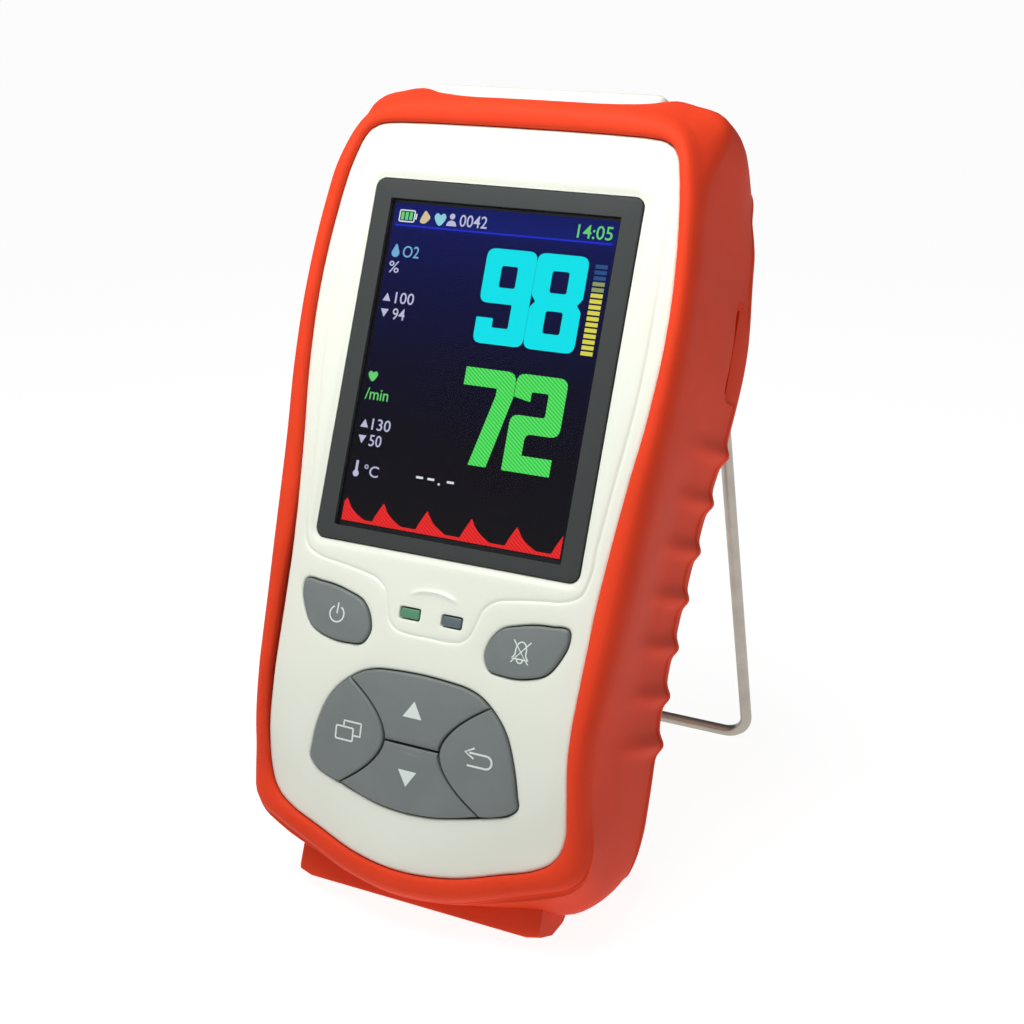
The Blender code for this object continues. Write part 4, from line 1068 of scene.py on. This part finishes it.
def make_status_icons():
    battery = even(rounded([(-20.4, 25.5), (-17.4, 25.5), (-17.4, 27.5), (-20.4, 27.5)], 0.2, 2), 1.0)
    lit_piece("battery_symbol", [stroke(battery, 0.22, closed=True), bar(-17.2, 26.0, -16.9, 27.0)],
              GLOW["white"])
    lit_piece("battery_charge", [bar(-20.1 + 0.85 * k, 25.8, -19.5 + 0.85 * k, 27.2) for k in range(3)],
              GLOW["leaf"])
    bell = smooth_line([(-16.1, 25.6), (-15.8, 26.9), (-15.3, 27.7), (-14.7, 27.2), (-14.2, 26.5),
                        (-14.6, 25.9), (-15.3, 25.4)], 0.25, closed=True)
    lit_piece("bell_symbol", [[bell]], GLOW["sand"])
    lit_piece("heart_symbol", [[heart_outline(-12.2, 26.4, 1.15)]], GLOW["ice"])


# ---- sockets, battery door, stand

def make_sockets():
    shell = bridge([[(x, y, z) for x, y in d_loop(w, d, 1.5)] for w, d, z in (
        (16.4, 8.0, 44.2), (16.4, 8.0, 51.4), (16.0, 7.6, 51.6), (15.4, 7.0, 51.6), (15.4, 7.0, 50.9),
        (15.3, 6.9, 50.9))])
    piece = finish_mesh("socket_shell", shell, NICKEL)
    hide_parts("probe_socket")
    block_top = bridge([[(x, y, z) for x, y in d_loop(w, d, 1.2)] for w, d, z in (
        (15.0, 6.6, 45.0), (15.0, 6.6, 51.2), (14.7, 6.3, 51.4))])
    carver = finish_mesh("socket_block", block_top, BLACK_PLASTIC)
    contacts, holes = bmesh.new(), bmesh.new()
    for count, y in ((5, SOCKET_Y + 1.42), (4, SOCKET_Y - 1.42)):
        for k in range(count):
            x = SOCKET_X + (k - (count - 1) / 2) * 2.74
            merge(holes, rod((x, y), 0.55, 49.0, 54.0, "z", 16))
            merge(contacts, rod((x, y), 0.5, 47.0, 50.6, "z", 16))
    carve(carver, holes, "DIFFERENCE")
    finish_mesh("socket_contacts", contacts, GOLD_CONTACT)
    profile = ((3.8, 44.0), (3.8, 51.5), (3.5, 51.9), (2.2, 51.9), (1.9, 51.6), (1.8, 51.2), (1.8, 44.5))
    jack = finish_mesh("jack_ring", turned((JACK_X, SOCKET_Y), profile, "z", 48), NICKEL)
    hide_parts("temperature_jack")


def make_battery_door():
    low, high = DOOR_Z
    door = finish_mesh("door", block((-DOOR_X, 30.1, low), (DOOR_X, CASE_BACK, high), 0.45, 4), WHITE_PLASTIC)
    cuts = rod(DOOR_SCREW, 1.5, 28.0, 34.0, "y")
    merge(cuts, rod(DOOR_SCREW, 2.7, 30.9, 34.0, "y"))
    for k in range(6):
        z = low + 5.0 + 2.2 * k
        merge(cuts, block((-9.0, CASE_BACK - 0.35, z), (9.0, 34.0, z + 1.0), 0.3, 3))
    carve(door, cuts, "DIFFERENCE")
    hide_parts("battery_door")
    profile = ((0.5, 24.0), (1.2, 25.0), (1.2, 31.2), (2.2, 31.2), (2.2, 31.55), (2.05, 31.8), (1.7, 31.9))
    screw = finish_mesh("door_screw_head", turned(DOOR_SCREW, profile, "y", 36), SHEET_STEEL)
    for half_x, half_z in ((1.3, 0.22), (0.22, 1.3)):
        arm = block((-half_x, 31.3, DOOR_SCREW[1] - half_z), (half_x, 33.0, DOOR_SCREW[1] + half_z), 0.05, 1)
        carve(screw, arm, "DIFFERENCE")
    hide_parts("door_screw")


def make_stand():
    """The wire stand, from its pins in the boot's lugs down to the bar on the floor."""
    pin_end, leg_x, length, pin_bend, bar_bend = 24.6, 31.1, 93.4, 2.4, 5.5
    radius = 1.2
    pivot = Vector(JOINTS["stand_hinge"]["pos_m"])
    swing = acos((pivot.z / MM - radius) / length)
    half = [(pin_end, 0), (26.0, 0), (27.5, 0)]
    half += circle(leg_x - pin_bend, -pin_bend, pin_bend, 90, 0, 10)
    half += [(leg_x, -length * k / 12) for k in range(1, 12)]
    half += circle(leg_x - bar_bend, -length + bar_bend, bar_bend, 0, -90, 14)
    half += [(leg_x - bar_bend - k * 6.4, -length) for k in range(1, 4)]
    line = half + [(0, -length)] + mirrored(half)
    turn = Matrix.Translation(pivot) @ Matrix.Rotation(swing, 4, "X") @ Matrix.Scale(MM, 4)
    sides, rings = 20, []
    for i, (x, z) in enumerate(line):
        along = along_line(line, i)
        across = Vector((0, 1, 0)).cross(Vector((along.x, 0, along.y)))
        reach = radius * (0.8 if i in (0, len(line) - 1) else 1.0)
        rings.append([Vector((x, 0, z)) + (Vector((0, 1, 0)) * cos(a) + across * sin(a)) * reach
                      for a in (2 * pi * k / sides for k in range(sides))])
    wire = finish_mesh("stand_wire", bridge(rings), WIRE_STEEL, "stand", matrix=turn, angle=60)
    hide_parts("kickstand")


def dress_inner_parts():
    """Materials for the CAD nodes that stay as they are."""
    looks = {
        "window_gasket": BLACK_FOAM, "lcd_panel": PANEL_BLACK, "lcd_frame": SHEET_STEEL,
        "main_board": BOARD_GREEN, "status_led_left": LAMP_WHITE, "status_led_right": LAMP_WHITE,
        "buzzer": BLACK_PLASTIC, "cell_left": CELL_WRAP, "cell_middle": CELL_WRAP, "cell_right": CELL_WRAP,
        "battery_contact_top": NICKEL, "battery_contact_bottom": NICKEL,
    }
    for name, node in frame["nodes"].items():
        if name.endswith("_switch") or name.startswith("case_screw"):
            looks[name] = NICKEL
        if name in looks:
            for material_slot in node.material_slots:
                material_slot.material = looks[name]


# ---- studio

def make_camera():
    data = bpy.data.cameras.new("camera")
    data.lens, data.sensor_width = 58.2, 36.0
    camera = add_object("camera", data)
    middle = DEVICE @ Vector((0, 0, 0))
    camera.location = middle + Vector((0.12936, -0.24404, 0.07564))
    camera.rotation_euler = (radians(90 - 20.04), 0, radians(26.60))
    bpy.context.scene.camera = camera


def make_studio():
    bm = bmesh.new()
    bmesh.ops.create_grid(bm, x_segments=2, y_segments=2, size=6.0)
    pale = surface("floor_pale", (0.20, 0.20, 0.20), 0.8, grain=(2, 0.001, 0.05),
                   Emission_Color=(1, 1, 1, 1), Emission_Strength=0.92)
    finish_mesh("floor", bm, pale, None, matrix=Matrix.Identity(4))
    world = bpy.data.worlds.new("studio")
    world.use_nodes = True
    world.node_tree.nodes["Background"].inputs["Color"].default_value = (1, 1, 1, 1)
    world.node_tree.nodes["Background"].inputs["Strength"].default_value = 0.12
    bpy.context.scene.world = world
    key = add_object("key", bpy.data.lights.new("key", "AREA"))
    key.data.shape, key.data.size, key.data.energy = "DISK", 0.20, 0.74
    key.location = (-0.03, -0.10, 0.31)
    key.rotation_euler = (Vector((0, -0.01, 0.10)) - key.location).to_track_quat("-Z", "Y").to_euler()
    sun = add_object("wide", bpy.data.lights.new("wide", "SUN"))
    sun.data.energy, sun.data.angle = 0.36, radians(70)
    sun.rotation_euler = (radians(38), 0, radians(-22))
    bpy.context.scene.view_settings.view_transform = "Standard"


make_camera()
make_boot()
make_front_case()
make_rear_case()
make_keys()
make_window()
make_display()
make_sockets()
make_battery_door()
make_stand()
dress_inner_parts()
make_studio()
